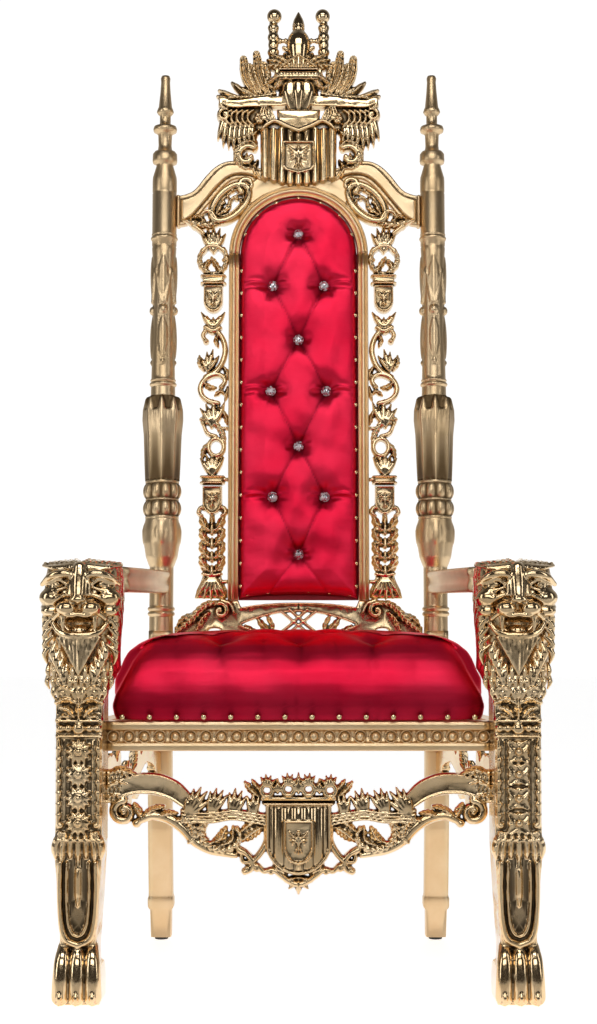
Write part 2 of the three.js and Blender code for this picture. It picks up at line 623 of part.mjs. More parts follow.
function seatCushion() {
  const rings = CUSHION.map(([z, half, inset]) => {
    const front = CUSHION_FRONT + inset;
    const rear = CUSHION_BACK - inset * 0.6;
    const wide = Math.min(half + CUSHION_FLARE, CUSHION_WIDEST - inset);
    const outline = [[half - 12, front], [half, front + 14], [half, LEG_BACK + 22], [wide, LEG_BACK + 44],
      [238 - inset * 0.4, rear - 12], [226 - inset * 0.4, rear]];
    return [...outline, ...outline.toReversed().map(([x, y]) => [-x, y])].map(([x, y]) => vec(x, y, z));
  });
  return loft(rings);
}

// ---------- assembly ----------
const throne = new THREE.Group();
const back = new THREE.Group();
back.applyMatrix4(rakeMatrix);
throne.add(back);

function finish(shape) {
  if (shape.isBufferGeometry) return shape;
  const mesh = shape.getMesh();
  const geometry = new THREE.BufferGeometry();
  geometry.setAttribute('position', new THREE.BufferAttribute(Float32Array.from(mesh.vertProperties), 3));
  geometry.setIndex(new THREE.BufferAttribute(Uint32Array.from(mesh.triVerts), 1));
  return geometry;
}

function add(parent, name, shape, look) {
  const mesh = new THREE.Mesh(finish(shape), new THREE.MeshStandardMaterial(look));
  mesh.name = name;
  parent.add(mesh);
  return mesh;
}

const SIDES = [['left', -1], ['right', 1]];
const POST_FACE = BACK_Y - 22;   // front of the rear legs where the side rails meet them
const legs = { left: finish(lionLeg(6)), right: finish(lionLeg(4)) };
const post = finish(rearPost());
const armBack = BACK_Y + RAKE * (ARM_LOW - SEAT_Z);
const ARM_FRONT = FRONT + 150;   // the arms start inside the manes and meet the posts
const ARM_FRONT_X = 313;
for (const [name, side] of SIDES) {
  add(throne, `lion_leg_${name}`, side > 0 ? legs[name] : mirrored(legs[name]), GOLD).position.x = side * LEG_X;
  add(throne, `rear_post_${name}`, side > 0 ? post : mirrored(post), GOLD).position.x = side * POST_X;

  const rail = solid(bar([side * 340, LEG_BACK - 20], [side * 272, BACK_Y], 14, RAIL_SECTION));
  const railShape = rail.trimByPlane([0, 1, 0], LEG_BACK + GAP).trimByPlane([0, -1, 0], -POST_FACE);
  add(throne, `seat_rail_${name}`, railShape, SATIN_GOLD);

  const arm = bar([side * ARM_FRONT_X, ARM_FRONT], [side * (POST_X + 2), armBack + 4], 21, ARM_SECTION);
  const clearArm = solid(turned([[600, 25], [800, 25]], 16).translate(side * POST_X, armBack + 1, 0));
  add(throne, `arm_rail_${name}`, solid(arm).subtract(clearArm), SATIN_GOLD);

  const stretcher = add(throne, `apron_side_${name}`, sideApron(), GOLD);
  const run = SIDE_TO.clone().sub(SIDE_FROM);
  stretcher.position.addVectors(SIDE_FROM, SIDE_TO).multiplyScalar(0.5);
  stretcher.position.x *= side;
  stretcher.rotation.z = side * Math.atan2(run.y, run.x);

  add(back, `back_stile_${name}`, side > 0 ? stile() : mirrored(stile()), SATIN_GOLD);
  add(back, `back_border_${name}`, border(side), GOLD);
  const glide = () => turned([[0, 13], [FOOT_Z, 15]], 12);
  add(throne, `glide_front_${name}`, glide(), BLACK).position.set(side * LEG_X, FRONT + 52, 0);
  add(throne, `glide_rear_${name}`, glide(), BLACK).position.set(side * POST_X, BACK_Y + LEG_PATH[0][1], 0);
}
add(throne, 'seat_rail_front', frontRail(), SATIN_GOLD);
add(throne, 'seat_rail_back', block(-244, 244, BACK_Y - 14, BACK_Y + 12, RAIL_LOW, SEAT_Z), SATIN_GOLD);
add(throne, 'apron_front', frontApron(), GOLD);
add(throne, 'seat_cushion', seatCushion(), RED);
add(back, 'crest_rail', crestRail(), SATIN_GOLD);
add(back, 'crest_carving', crest(), GOLD);
add(back, 'lower_back_rail', lowerRail(), GOLD);
add(back, 'back_panel', plate(panelOutline(GAP), 2, 14), RED);
add(back, 'back_cushion', plate(panelOutline(1.5), PAD_FACE, 1, 8), RED);
BUTTONS.forEach((place, i) => {
  const rows = [[GAP - PAD_FACE, BUTTON_R], [9 - PAD_FACE, 5]];
  add(back, `back_button_${i + 1}`, buttonAt(place, rows, 6), CRYSTAL);
});

export default throne;
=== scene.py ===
# A tall carved throne in gold leaf: lion legs, turned back posts, pierced crest, borders and stretchers, and
# button-tufted crimson satin. Pieces are carved in millimetres, and turned into metres when they become meshes.
import copy
import math

import bpy
import numpy as np
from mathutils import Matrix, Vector


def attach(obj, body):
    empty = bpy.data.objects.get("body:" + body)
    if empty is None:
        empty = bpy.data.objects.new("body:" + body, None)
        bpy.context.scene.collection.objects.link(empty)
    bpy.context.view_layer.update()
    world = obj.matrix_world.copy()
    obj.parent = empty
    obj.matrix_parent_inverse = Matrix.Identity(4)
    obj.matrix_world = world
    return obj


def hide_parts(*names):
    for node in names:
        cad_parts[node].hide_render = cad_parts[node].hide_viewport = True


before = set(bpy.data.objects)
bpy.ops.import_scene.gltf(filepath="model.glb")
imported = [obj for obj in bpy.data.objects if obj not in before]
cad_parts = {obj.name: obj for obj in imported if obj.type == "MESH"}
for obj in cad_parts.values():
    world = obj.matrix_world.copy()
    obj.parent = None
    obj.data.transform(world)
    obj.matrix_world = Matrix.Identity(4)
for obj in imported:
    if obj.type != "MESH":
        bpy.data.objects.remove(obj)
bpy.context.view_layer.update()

# ---------- lion legs ----------
# Each front leg is one limewood carving: a roaring lion's head over a leaf collar, a panel of rosettes between rows
# of beads, a scalloped skirt, a long U-shaped moulding and a three-toed paw. Gilded in bright leaf over dark ground;
# the dark in its hollows is partly that ground and partly painted shade.
FRONT = -328
LEG_X = 360
LEG_FACE = FRONT + 14
FACE_Y = LEG_FACE
FAR = 9.0


class Socket:
    """An output of a shader tree, with the arithmetic that joins it to other outputs and to numbers."""

    def __init__(self, tree, socket=None):
        self.tree = tree
        self.socket = socket

    def node(self, kind, settings=(), inputs=(), output=0):
        made = self.tree.nodes.new("ShaderNode" + kind)
        for name, value in dict(settings).items():
            if name == "stops":
                self._stops(made.color_ramp, value)
            else:
                setattr(made, name, value)
        for name, value in dict(inputs).items():
            if isinstance(value, Socket):
                self.tree.links.new(value.socket, made.inputs[name])
            else:
                made.inputs[name].default_value = value
        return Socket(self.tree, made.outputs[output])

    def _stops(self, ramp, stops):
        while len(ramp.elements) < len(stops):
            ramp.elements.new(0.5)
        for element, (place, colour) in zip(ramp.elements, stops):
            element.position = place
            element.color = colour

    def _math(self, operation, *values):
        return self.node("Math", {"operation": operation}, dict(enumerate(values)))

    def __add__(self, other):
        return self._math("ADD", self, other)

    __radd__ = __add__

    def __mul__(self, other):
        return self._math("MULTIPLY", self, other)

    __rmul__ = __mul__

    def between(self, low, high):
        """0 below low, 1 above high, and a smooth step in between."""
        return self.node("MapRange", {"interpolation_type": "SMOOTHSTEP"},
                         {"Value": self, "From Min": low, "From Max": high})

    def blend(self, first, second):
        """The colour first where this is 0, and second where it is 1."""
        return self.node("Mix", {"data_type": "RGBA"}, {"Factor": self, 6: first, 7: second}, 2)


class Finish:
    """A material with one Principled shader. rows of look are that shader's own constants."""

    def __init__(self, name, look):
        self.material = bpy.data.materials.new(name)
        self.material.use_nodes = True
        tree = self.material.node_tree
        self.shader = tree.nodes["Principled BSDF"]
        for socket, value in look.items():
            self.shader.inputs[socket].default_value = value
        self.tree = Socket(tree)
        self.place = self.tree.node("TexCoord", output=3)

    def noise(self, scale, detail=3.0, rough=0.5, stretch=(1, 1, 1)):
        spread = self.tree.node("Mapping", {}, {"Vector": self.place, "Scale": stretch})
        return self.tree.node("TexNoise", {},
                              {"Vector": spread, "Scale": scale, "Detail": detail, "Roughness": rough})

    def attribute(self, name):
        return self.tree.node("Attribute", {"attribute_name": name}, output=2)

    def feed(self, socket, value):
        self.tree.tree.links.new(value.socket, self.shader.inputs[socket])

    def bump(self, height, strength, distance):
        made = self.tree.node("Bump", {}, {"Height": height, "Strength": strength, "Distance": distance})
        self.feed("Normal", made)


def gilding(name, leaf, shade, patina_and_shade, polish, ripple, lacquer):
    """Gold leaf over clay: lap marks and slight burnish unevenness, and where the carving is hollow a dark tone that
    is partly patina and partly painted shade.
    """
    made = Finish(name, {"Metallic": 1.0, "Coat Weight": lacquer, "Coat Roughness": 0.04})
    drift = made.noise(14.0, 4.0)
    grain = made.noise(160.0, 3.0)
    # Where the carving is hollow the leaf turns to the dark colour: partly patina, partly painted shade.
    hollow = made.attribute("hollow").between(0.47, 0.70)
    tone = drift.between(0.35, 0.68).blend(leaf, shade)
    made.feed("Base Color", (hollow * 0.95).blend(tone, patina_and_shade))
    made.feed("Roughness", polish + drift * 0.07 + grain.between(0.45, 0.8) * 0.06 + hollow * 0.20)
    waves = made.noise(38.0, 2.0)
    made.bump(waves + grain * 0.12, ripple, 0.004)
    return made.material


BRIGHT_GOLD = gilding("bright_gold_leaf", (0.90, 0.68, 0.41, 1), (0.82, 0.58, 0.31, 1), (0.05, 0.03, 0.012, 1),
                      0.11, 0.10, 0.30)
SATIN_GOLD = gilding("satin_gold_leaf", (0.88, 0.66, 0.40, 1), (0.82, 0.59, 0.33, 1), (0.16, 0.10, 0.045, 1), 0.33,
                     0.07, 0.0)


def smooth_least(a, b, blend):
    """The smaller of two fields, rounded where they meet."""
    if blend <= 0:
        return np.minimum(a, b)
    share = np.maximum(blend - np.abs(a - b), 0) / blend
    return np.minimum(a, b) - share * share * blend / 4


def bend(points, steps=6):
    """A smooth line through points, as rows."""
    p = np.array(points, float)
    p = np.vstack([2 * p[0] - p[1], p, 2 * p[-1] - p[-2]])
    t = np.linspace(0, 1, steps, endpoint=False)[:, None]
    runs = []
    for a, b, c, d in zip(p, p[1:], p[2:], p[3:]):
        runs.append(0.5 * (2 * b + (c - a) * t + (2 * a - 5 * b + 4 * c - d) * t**2 + (3 * b - a - 3 * c + d) * t**3))
    return np.vstack([*runs, p[-2:-1]])


def nearest(line, *place):
    """Distance from each place to a line, how far along the line that is, and on which side of it in the plane."""
    place = np.stack(np.broadcast_arrays(*place), -1)[..., None, :]
    run = np.diff(line, axis=0)
    share = np.clip(((place - line[:-1]) * run).sum(-1) / np.maximum((run**2).sum(-1), 1e-9), 0, 1)
    offset = place - line[:-1] - share[..., None] * run
    distance = np.sqrt((offset**2).sum(-1))
    best = distance.argmin(-1)
    pick = best[..., None]
    lengths = np.linalg.norm(run, axis=1)
    start = np.concatenate([[0], np.cumsum(lengths)])
    t = (start[best] + np.take_along_axis(share, pick, -1)[..., 0] * lengths[best]) / start[-1]
    near = np.take_along_axis(offset, pick[..., None], -2)[..., 0, :]
    side = np.sign(run[best][..., 0] * near[..., -1] - run[best][..., -1] * near[..., 0])
    return np.take_along_axis(distance, pick, -1)[..., 0], t, side


def spread(values, t):
    """Evenly spaced values read at t."""
    values = np.atleast_1d(values)
    return np.interp(t, np.linspace(0, 1, len(values)), values) if len(values) > 1 else np.full_like(t, values[0])


def spiral(x, z, r0, r1, start, turns, count=14):
    """Points of a spiral, with start and turns in whole turns."""
    t = np.linspace(0, 1, count)
    angle = 2 * math.pi * (start + turns * t)
    r = r0 + (r1 - r0) * t
    return np.stack([x + r * np.cos(angle), z + r * np.sin(angle)], -1)


class Carving:
    """Wood on a fine grid. stroke, boss, slab and hole work a relief in the x-z plane. lay sets that relief into the
    grid as a board, and ball, rod and form add round work. With half, only x >= 0 is carved and then mirrored."""

    def __init__(self, low, high, step, half=False):
        self.step = step
        self.half = half
        self.axes = [np.arange(a, b + step, step) for a, b in zip(low, high)]
        self.field = np.full([len(a) for a in self.axes], FAR, np.float32)
        self.fresh()

    def fresh(self):
        shape = (len(self.axes[0]), len(self.axes[2]))
        self.height = np.zeros(shape)
        self.edge = np.full(shape, FAR)

    def window(self, low, high, which):
        parts = []
        for axis, a, b in zip(which, low, high):
            first, last = np.searchsorted(self.axes[axis], (a, b))
            parts.append(slice(max(first - 1, 0), max(last + 1, 1)))
        return parts, np.meshgrid(*[self.axes[axis][part] for axis, part in zip(which, parts)], indexing="ij")

    def relief(self, part, distance, height):
        """Lays one form over the relief: its outline's distance, and how high it stands."""
        part = tuple(part)
        soft = np.clip(0.5 - distance / (1.5 * self.step), 0, 1)
        self.edge[part] = smooth_least(self.edge[part], distance, 1.0)
        self.height[part] = np.maximum(self.height[part], height * soft)

    def stroke(self, points, half, deep, form="round", lift=0.0, lobes=0, slant=0.9, notch=0.28, lobed=0,
               raw=False):
        """A strap, scroll or leaf along points. lobes divides it into leaflets, lobed 1 or -1 on one side only."""
        line = np.array(points, float) if raw else bend(points)
        reach = np.max(half) + 2 * self.step
        part, (x, z) = self.window(line.min(0) - reach, line.max(0) + reach, (0, 2))
        distance, t, side = nearest(line, x, z)
        wide = spread(half, t)
        u = np.clip(distance / np.maximum(wide, 0.1), 0, 1)
        if form == "round":
            height = np.sqrt(1 - u * u)
        elif form == "ridge":
            height = 1 - 0.85 * u
        elif form == "hollow":
            height = (0.45 + 0.55 * u**2) * np.clip((1 - u) / 0.14, 0, 1) ** 0.5
        else:
            height = np.clip((1 - u) * wide / 2.5, 0, 1)
        if lobes:
            count = lobes * t - slant * u
            bump = np.abs(np.sin(math.pi * count))
            marked = np.where(side == -lobed, 0, 1) if lobed else 1
            wide = wide * (1 - notch * marked * (1 - bump**0.6))
            height = height * (1 - 0.42 * marked * (1 - bump**0.7) * np.clip(u * 4, 0, 1))
        self.relief(part, distance - wide, lift + spread(deep, t) * height)

    def leaf(self, points, half, deep, lobes=4, lift=0.0, **options):
        """A pointed leaf with a rib down its middle."""
        wide = np.array([0.45, 0.85, 1.0, 1.0, 0.88, 0.45]) * half
        self.stroke(points, wide, np.array([0.7, 0.9, 1, 1, 0.9, 0.6]) * deep, "ridge", lift, lobes, **options)

    def boss(self, x, z, r, deep, lift=0.0, form="round"):
        part, (px, pz) = self.window((x - r - 3, z - r - 3), (x + r + 3, z + r + 3), (0, 2))
        distance = np.hypot(px - x, pz - z)
        u = np.clip(distance / r, 0, 1)
        height = np.sqrt(1 - u * u) if form == "round" else np.clip((1 - u) * r / 2, 0, 1)
        self.relief(part, distance - r, lift + deep * height)

    def outline(self, points, margin=6):
        """Signed distance to a polygon, negative inside."""
        points = np.array(points, float)
        part, (x, z) = self.window(points.min(0) - margin, points.max(0) + margin, (0, 2))
        closed = np.vstack([points, points[:1]])
        distance = nearest(closed, x, z)[0]
        inside = np.zeros(x.shape, bool)
        for (x0, z0), (x1, z1) in zip(closed, closed[1:]):
            if z0 != z1:
                inside ^= ((z0 > z) != (z1 > z)) & (x < (x1 - x0) * (z - z0) / (z1 - z0) + x0)
        return part, np.where(inside, -distance, distance), x, z

    def slab(self, points, deep, bevel=2.0, lift=0.0):
        """A flat raised shape with eased edges. deep may be a function of x, z and the distance inside its edge."""
        part, distance, x, z = self.outline(points)
        rise = np.clip(-distance / bevel, 0, 1) ** 0.6
        top = deep(x, z, -distance) if callable(deep) else deep
        self.relief(part, distance, lift + top * rise)

    def hole(self, points):
        part, distance, _, _ = self.outline(points)
        part = tuple(part)
        self.edge[part] = np.maximum(self.edge[part], -distance)

    def eyelet(self, x, z, rx, rz, count):
        """Cuts an oval hole with that many corners."""
        turn = np.linspace(0, 2 * math.pi, count + 1)[:-1]
        self.hole([(x + rx * math.cos(a), z + rz * math.sin(a)) for a in turn])

    def sink(self, points, to, bevel=2.0):
        """Lowers the ground inside a polygon."""
        part, distance, _, _ = self.outline(points)
        part = tuple(part)
        share = np.clip(-distance / bevel, 0, 1)
        self.height[part] = self.height[part] * (1 - share) + np.minimum(self.height[part], to) * share

    def lay(self, y, back, blend=1.0):
        """Sets the relief into the grid: its ground lies at depth y and its back at depth back."""
        slope_x, slope_z = np.gradient(self.height, self.step)
        scale = 1 / np.sqrt(1 + slope_x**2 + slope_z**2)
        front = (y - self.height)[:, None, :] - self.axes[1][None, :, None]
        depth = np.maximum(front * scale[:, None, :], self.axes[1][None, :, None] - back)
        made = np.maximum(self.edge[:, None, :], depth)
        self.field = smooth_least(self.field, np.minimum(made, FAR).astype(np.float32), blend)
        self.fresh()

    def form(self, low, high, shape, blend=2.0, cut=False):
        """Joins a round form, given as a field of x, y and z, or cuts it away."""
        part, (x, y, z) = self.window(low, high, (0, 1, 2))
        part = tuple(part)
        value = shape(x, y, z).astype(np.float32)
        if cut:
            self.field[part] = -smooth_least(-self.field[part], value, blend)
        else:
            self.field[part] = smooth_least(self.field[part], np.minimum(value, FAR), blend)

    def ball(self, centre, radii, blend=2.0, cut=False):
        centre = np.array(centre, float)
        radii = np.broadcast_to(np.array(radii, float), 3)
        reach = radii + blend + 3

        def shape(x, y, z):
            q = np.sqrt(sum(((a - c) / r) ** 2 for a, c, r in zip((x, y, z), centre, radii)))
            return (q - 1) * radii.min()

        self.form(centre - reach, centre + reach, shape, blend, cut)

    def rod(self, points, radius, blend=2.0, cut=False, steps=4):
        """A round strand along points in space."""
        line = bend(points, steps)
        reach = np.max(radius) + blend + 3

        def shape(x, y, z):
            distance, t, _ = nearest(line, x, y, z)
            return distance - spread(radius, t)

        self.form(line.min(0) - reach, line.max(0) + reach, shape, blend, cut)

    def mesh(self):
        """Points and quads of the surface, and how hollow the carving is at each point."""
        field, axes = self.field, [a.copy() for a in self.axes]
        if self.half:
            field = np.concatenate([field[:0:-1], field])
            axes[0] = np.concatenate([-axes[0][:0:-1], axes[0]])
        field = np.pad(field, 1, constant_values=FAR)
        low = np.array([a[0] for a in axes]) - self.step
        inside = field < 0
        corner = [(i, j, k) for i in (0, 1) for j in (0, 1) for k in (0, 1)]
        n = np.array(field.shape) - 1
        view = lambda a, c: a[c[0]:c[0] + n[0], c[1]:c[1] + n[1], c[2]:c[2] + n[2]]
        count = sum(view(inside, c).astype(np.int8) for c in corner)
        cells = np.argwhere((count > 0) & (count < 8))
        index = np.full(n, -1, np.int64)
        index[tuple(cells.T)] = np.arange(len(cells))
        values = np.stack([field[tuple((cells + c).T)] for c in corner], -1)
        total, crossings = np.zeros((len(cells), 3)), np.zeros(len(cells))
        for a in range(8):
            for b in range(a + 1, 8):
                step = np.array(corner[b]) - corner[a]
                if abs(step).sum() != 1:
                    continue
                crossed = (values[:, a] < 0) != (values[:, b] < 0)
                share = values[crossed, a] / (values[crossed, a] - values[crossed, b])
                total[crossed] += np.array(corner[a]) + share[:, None] * step
                crossings[crossed] += 1
        points = low + self.step * (cells + total / crossings[:, None])
        quads = []
        for axis in range(3):
            u, v = (axis + 1) % 3, (axis + 2) % 3
            ahead = np.roll(inside, -1, axis)
            for first, flip in ((inside & ~ahead, False), (~inside & ahead, True)):
                at = np.argwhere(first)
                at = at[(at > 0).all(1) & (at < n).all(1)]
                du, dv = np.eye(3, dtype=int)[u], np.eye(3, dtype=int)[v]
                ring = [at - du - dv, at - dv, at, at - du]
                quad = np.stack([index[tuple(r.T)] for r in ring], -1)
                quads.append(quad[:, ::-1] if flip else quad)
        quads = np.concatenate(quads)
        quads = quads[(quads >= 0).all(1)]
        # How hollow: the share of wood within about 4.5 mm, which the gold finishes turn into patina and painted shade.
        full = np.clip(0.5 - field / self.step, 0, 1)
        width = max(int(round(4.5 / self.step)), 1)
        for axis in range(3):
            pad = [(0, 0)] * 3
            pad[axis] = (width + 1, width)
            run = np.cumsum(np.pad(full, pad, mode="edge"), axis)
            size = full.shape[axis]
            full = (np.take(run, np.arange(size) + 2 * width + 1,
                            axis) - np.take(run, np.arange(size), axis)) / (2 * width + 1)
        places = np.clip(np.round((points - low) / self.step).astype(int), 0, np.array(full.shape) - 1)
        return points, quads, full[tuple(places.T)]


def add_mesh(name, points, faces, finish, hollow=None, smooth=True):
    """A mesh object from rows of points in millimetres and rows of faces."""
    mesh = bpy.data.meshes.new(name)
    points = np.asarray(points, float) / 1000
    if isinstance(faces, np.ndarray):
        count, corners = faces.shape
        mesh.vertices.add(len(points))
        mesh.vertices.foreach_set("co", points.ravel())
        mesh.loops.add(count * corners)
        mesh.loops.foreach_set("vertex_index", faces.astype(np.int32).ravel())
        mesh.polygons.add(count)
        mesh.polygons.foreach_set("loop_start", np.arange(count, dtype=np.int32) * corners)
        mesh.update(calc_edges=True)
        mesh.validate()
    else:
        mesh.from_pydata(points.tolist(), [], faces)
    mesh.polygons.foreach_set("use_smooth", [smooth] * len(mesh.polygons))
    if hollow is not None:
        mesh.attributes.new("hollow", "FLOAT", "POINT").data.foreach_set("value", np.asarray(hollow, np.float32))
    mesh.materials.append(finish)
    made = bpy.data.objects.new(name, mesh)
    bpy.context.scene.collection.objects.link(made)
    return made


def thin(made, share):
    """Fewer faces where the carving is flat, keeping that share of them."""
    made.modifiers.new("thin", "DECIMATE").ratio = share
    whole = made.data
    made.data = bpy.data.meshes.new_from_object(made.evaluated_get(bpy.context.evaluated_depsgraph_get()))
    made.modifiers.clear()
    bpy.data.meshes.remove(whole)
    return made


def settle(made, slot, *nodes):
    """The piece rides on the throne and stands for the nodes, whose solids it hides. slot is not used."""
    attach(made, "root")
    if nodes:
        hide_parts(*nodes)
    return made


MANE = np.array([[496, 34, 42], [524, 47, 50], [550, 61, 62], [584, 60, 62], [620, 63, 67], [664, 66, 71],
                 [700, 65, 70],
                 [718, 62, 67], [730, 52, 60]], float)
BLOCK = np.array([[6.3, 34, 6, 84], [84, 29, 6, 84], [180, 34, 3, 98], [262, 38, 1, 100], [505, 38, 1, 100]], float)


def leg_block(x, y, z):
    half = np.interp(z, BLOCK[:, 0], BLOCK[:, 1])
    front = LEG_FACE + np.interp(z, BLOCK[:, 0], BLOCK[:, 2])
    back = LEG_FACE + np.interp(z, BLOCK[:, 0], BLOCK[:, 3])
    sides = smooth_least(half - np.abs(x), np.minimum(y - front, back - y), 4)
    ends = np.minimum(z - 6.3, 506 - z)
    return -np.minimum(sides, ends)


def mane(x, y, z):
    """The head's mass, with locks of hair combed down its sides and back."""
    half = np.interp(z, MANE[:, 0], MANE[:, 1])
    deep = np.interp(z, MANE[:, 0], MANE[:, 2])
    v = (y - FACE_Y - 70) / deep
    angle = np.arctan2(v, x / half)
    lock = np.sin(7 * angle + 2.2 * np.sin(z / 17.0) + z / 24.0)
    strand = np.sin(38 * angle + 5 * np.sin(z / 21.0 + angle) + z / 9.0)
    face = np.clip((-v - 0.45) / 0.35, 0, 1) * np.clip((z - 590) / 16, 0, 1) * np.clip((712 - z) / 10, 0, 1)
    carve = (2.6 * (1 - np.abs(lock)) + 1.0 * (1 - np.abs(strand))) * (1 - face)
    rho = (np.abs(x / half) ** 3 + np.abs(v) ** 3) ** (1 / 3)
    shell = (rho - 1) * np.minimum(half, deep) + carve
    return np.maximum(shell, np.maximum(z - 730 + 1.5 * np.abs(lock), 496 - z))


def lion():
    """Half of a lion leg, without its rosettes."""
    wood = Carving((0, -350, 3), (84, -166, 737), 2.2, half=True)
    wood.form((0, -350, 3), (60, -196, 508), leg_block, 0)
    wood.form((0, -400, 496), (84, -150, 732), mane, 6)
    # brows, eyes, bridge of the nose and muzzle
    wood.ball((38, -319, 689), (17, 9, 9), 2, cut=True)
    wood.ball((37, -311, 689), (13, 9, 7.5), 1)
    wood.rod([(19, -320, 688), (34, -322, 697.5), (56, -308, 689)], [2.5, 3.2, 2.2], 1)
    wood.rod([(20, -319, 686), (37, -320, 680.5), (56, -307, 685)], [2, 2.8, 2], 1)
    wood.ball((34.5, -320.5, 689.5), (3.6, 2.5, 3.6), 0.5)
    wood.ball((34.5, -323, 689.5), (1.8, 2, 1.8), 0.5, cut=True)
    wood.rod([(4, -320, 700), (22, -325, 707), (46, -319, 704), (64, -300, 690)], [5, 7, 6, 4], 3)
    wood.rod([(0, -316, 716), (0, -321, 702), (0, -326, 686), (0, -332, 668)], [12, 13, 12.5, 11], 4)
    wood.rod([(9, -319, 704), (13, -322, 690), (14, -326, 674)], [5, 7, 6], 5)
    wood.ball((0, -336, 665), (14, 8.5, 8), 1.5)
    wood.rod([(3, -344, 657), (0, -343, 648), (0, -338, 640)], [1.8, 1.8, 1.8], 1.5, cut=True)
    wood.ball((6, -341, 659.5), (3.2, 3.5, 2), 1, cut=True)
    wood.ball((20, -330, 651), (17, 15, 12.5), 1.5)
    wood.ball((46, -305, 668), (22, 19, 17), 6)
    wood.rod([(14, -325, 676), (34, -322, 668), (52, -312, 661), (62, -296, 652)], [3, 5, 6, 5], 2)
    wood.ball((48, -305, 646), (17, 15, 10), 4)
    # open mouth with fangs, tongue and lower teeth, lips and striped beard
    wood.ball((0, -322, 626), (29, 26, 15.5), 2, cut=True)
    wood.rod([(0, -337, 641), (14, -337, 639.5), (30, -328, 643), (42, -316, 634)], [3.5, 4, 4, 4.5], 1)
    wood.ball((0, -312, 615), (14, 17, 9), 1.5)
    for x in (3.5, 10, 16):
        wood.rod([(x, -325 + x * 0.3, 610), (x, -326 + x * 0.3, 617)], [2.8, 1.2], 0.5)
    wood.rod([(26, -323, 640), (26.5, -324, 624), (24.5, -322, 611)], [5, 4, 1.2], 0.8)
    wood.rod([(0, -327, 606), (18, -325, 607), (34, -317, 613), (44, -308, 626)], [6, 6, 5.5, 5], 2)

    def beard(x, y, z):
        half = np.interp(z, [540, 548, 604], [1, 5, 36])
        stripe = 1.3 * np.abs(np.sin(x * (0.62 - (z - 540) * 0.0035)))
        front = -333 + np.abs(x) * 0.28 + (604 - z) * 0.05 + stripe
        return np.maximum(np.maximum(np.abs(x) - half, front - y),
                          np.maximum(z - 605, np.maximum(y + 290, 540 - z)))

    wood.form((0, -345, 536), (46, -280, 612), beard, 1.5)
    # ruffs behind the jaw, locks over the brow and fur on the chest
    for i in range(5):
        z = 650 - 15 * i
        wood.rod([(48 - i, -308 + i, z), (58, -300, z - 14), (62 - i * 2, -294, z - 34)], [3, 6, 1.5], 1.5)
    for i in range(4):
        z = 596 - 13 * i
        wood.rod([(38 - i * 6, -318, z), (44 - i * 6, -319, z - 18), (40 - i * 8, -314, z - 38)], [3, 6.5, 1.5],
                 1.5)
    for i in range(7):
        x = 6 + 8.5 * i
        wood.rod([(x * 0.35, -316 + i * 0.4, 709), (x * 0.8, -318 + i, 719 - i * 0.3),
                  (x + 8, -308 + i * 4, 727 - i)],
                 [1.6, 3.6, 2.4], 0.8)
        wood.rod([(x, -312 + i * 3, 727 - i * 0.5), (x + 5, -280, 731 - i), (x + 4, -230, 729 - i)],
                 [2.6, 3.4, 2.4], 0.8)
    for row, (z, wide) in enumerate(((560, 56), (543, 52), (526, 46))):
        for i in range(6):
            x = (i + 0.5 * (row % 2)) * wide / 5.5
            y = -322 + 0.004 * x * x
            wood.rod([(x, y + 5, z), (x * 1.02, y, z - 14), (x * 0.94, y + 4, z - 27)], [3, 4.6, 1], 1)
    # collar leaves, palmette, bead borders, skirt and U-shaped moulding on the front face
    for points, half, deep in (([(4, 498), (12, 515), (28, 522), (39, 512)], 10, 15),
                               ([(2, 494), (20, 503), (38, 496)], 9, 14),
                               ([(0, 470), (0, 486), (0, 500)], 9, 13), ([(8, 472), (17, 484), (30, 489)], 8, 11),
                               ([(14, 470), (26, 474), (37, 468)], 6, 10)):
        wood.leaf(points, half, deep, 5)
    wood.boss(0, 454, 11.5, 11)
    for x in (17, 30):
        wood.boss(x, 454, 7.5, 9)
    wood.stroke([(0, 466), (37, 466)], 3, 7)
    wood.stroke([(0, 441), (37, 441)], 2.5, 6)
    wood.stroke([(33, 298), (33, 436)], 3.6, 8)
    wood.stroke([(25, 300), (25, 434)], 1.6, 4)
    for z in (283, 296, 312, 330, 348, 366, 384, 402, 420):
        wood.boss(32 if z > 300 else 29, z, 6.2, 8.5)
    for x in (0, 13, 26, 36):
        wood.leaf([(x * 0.8, 284), (x, 262), (x * 1.02, 240 + (4 if x in (13, 36) else 0))], 8.5, 10, 0)
    wood.stroke([(0, 272), (38, 272)], 4, 9)
    wood.stroke([(29, 236), (30, 190), (27, 140), (19, 112), (0, 102)], [5, 5, 5, 6, 7], 9)
    wood.stroke([(18, 236), (19, 190), (16, 142), (9, 122), (0, 117)], [3, 3, 3, 4, 4], 7)
    wood.leaf([(0, 240), (0, 210), (0, 165)], 7, 7, 0)
    wood.slab([(-2, 492), (38, 492), (38, 236), (31, 130), (28, 100), (-2, 100)], 0.5, 1)
    wood.lay(LEG_FACE + 1, LEG_FACE + 14)
    # paw
    wood.form((0, -350, 3), (46, -190, 70), lambda x, y,
              z: -np.minimum(np.minimum(37 - x - 0.1 * np.maximum(z - 40, 0), y + 318),
                                                                       np.minimum(-226 - y, np.minimum(z - 6.3, 62 - z))), 6)
    for x in (0, 26):
        wood.rod([(x * 0.9, -304, 98), (x * 0.95, -318, 78), (x * 1.0, -324, 46), (x * 1.02, -324, 21)],
                 [10, 13, 14, 14.5], 1.2)
        wood.rod([(x * 1.02, -335, 30), (x * 1.03, -339, 20), (x * 1.03, -338, 10)], [4.5, 4, 2.2], 0.8)
    wood.form((0, -350, 0), (50, -190, 6.3), lambda x, y, z: z - 6.3, 0, cut=True)
    return wood


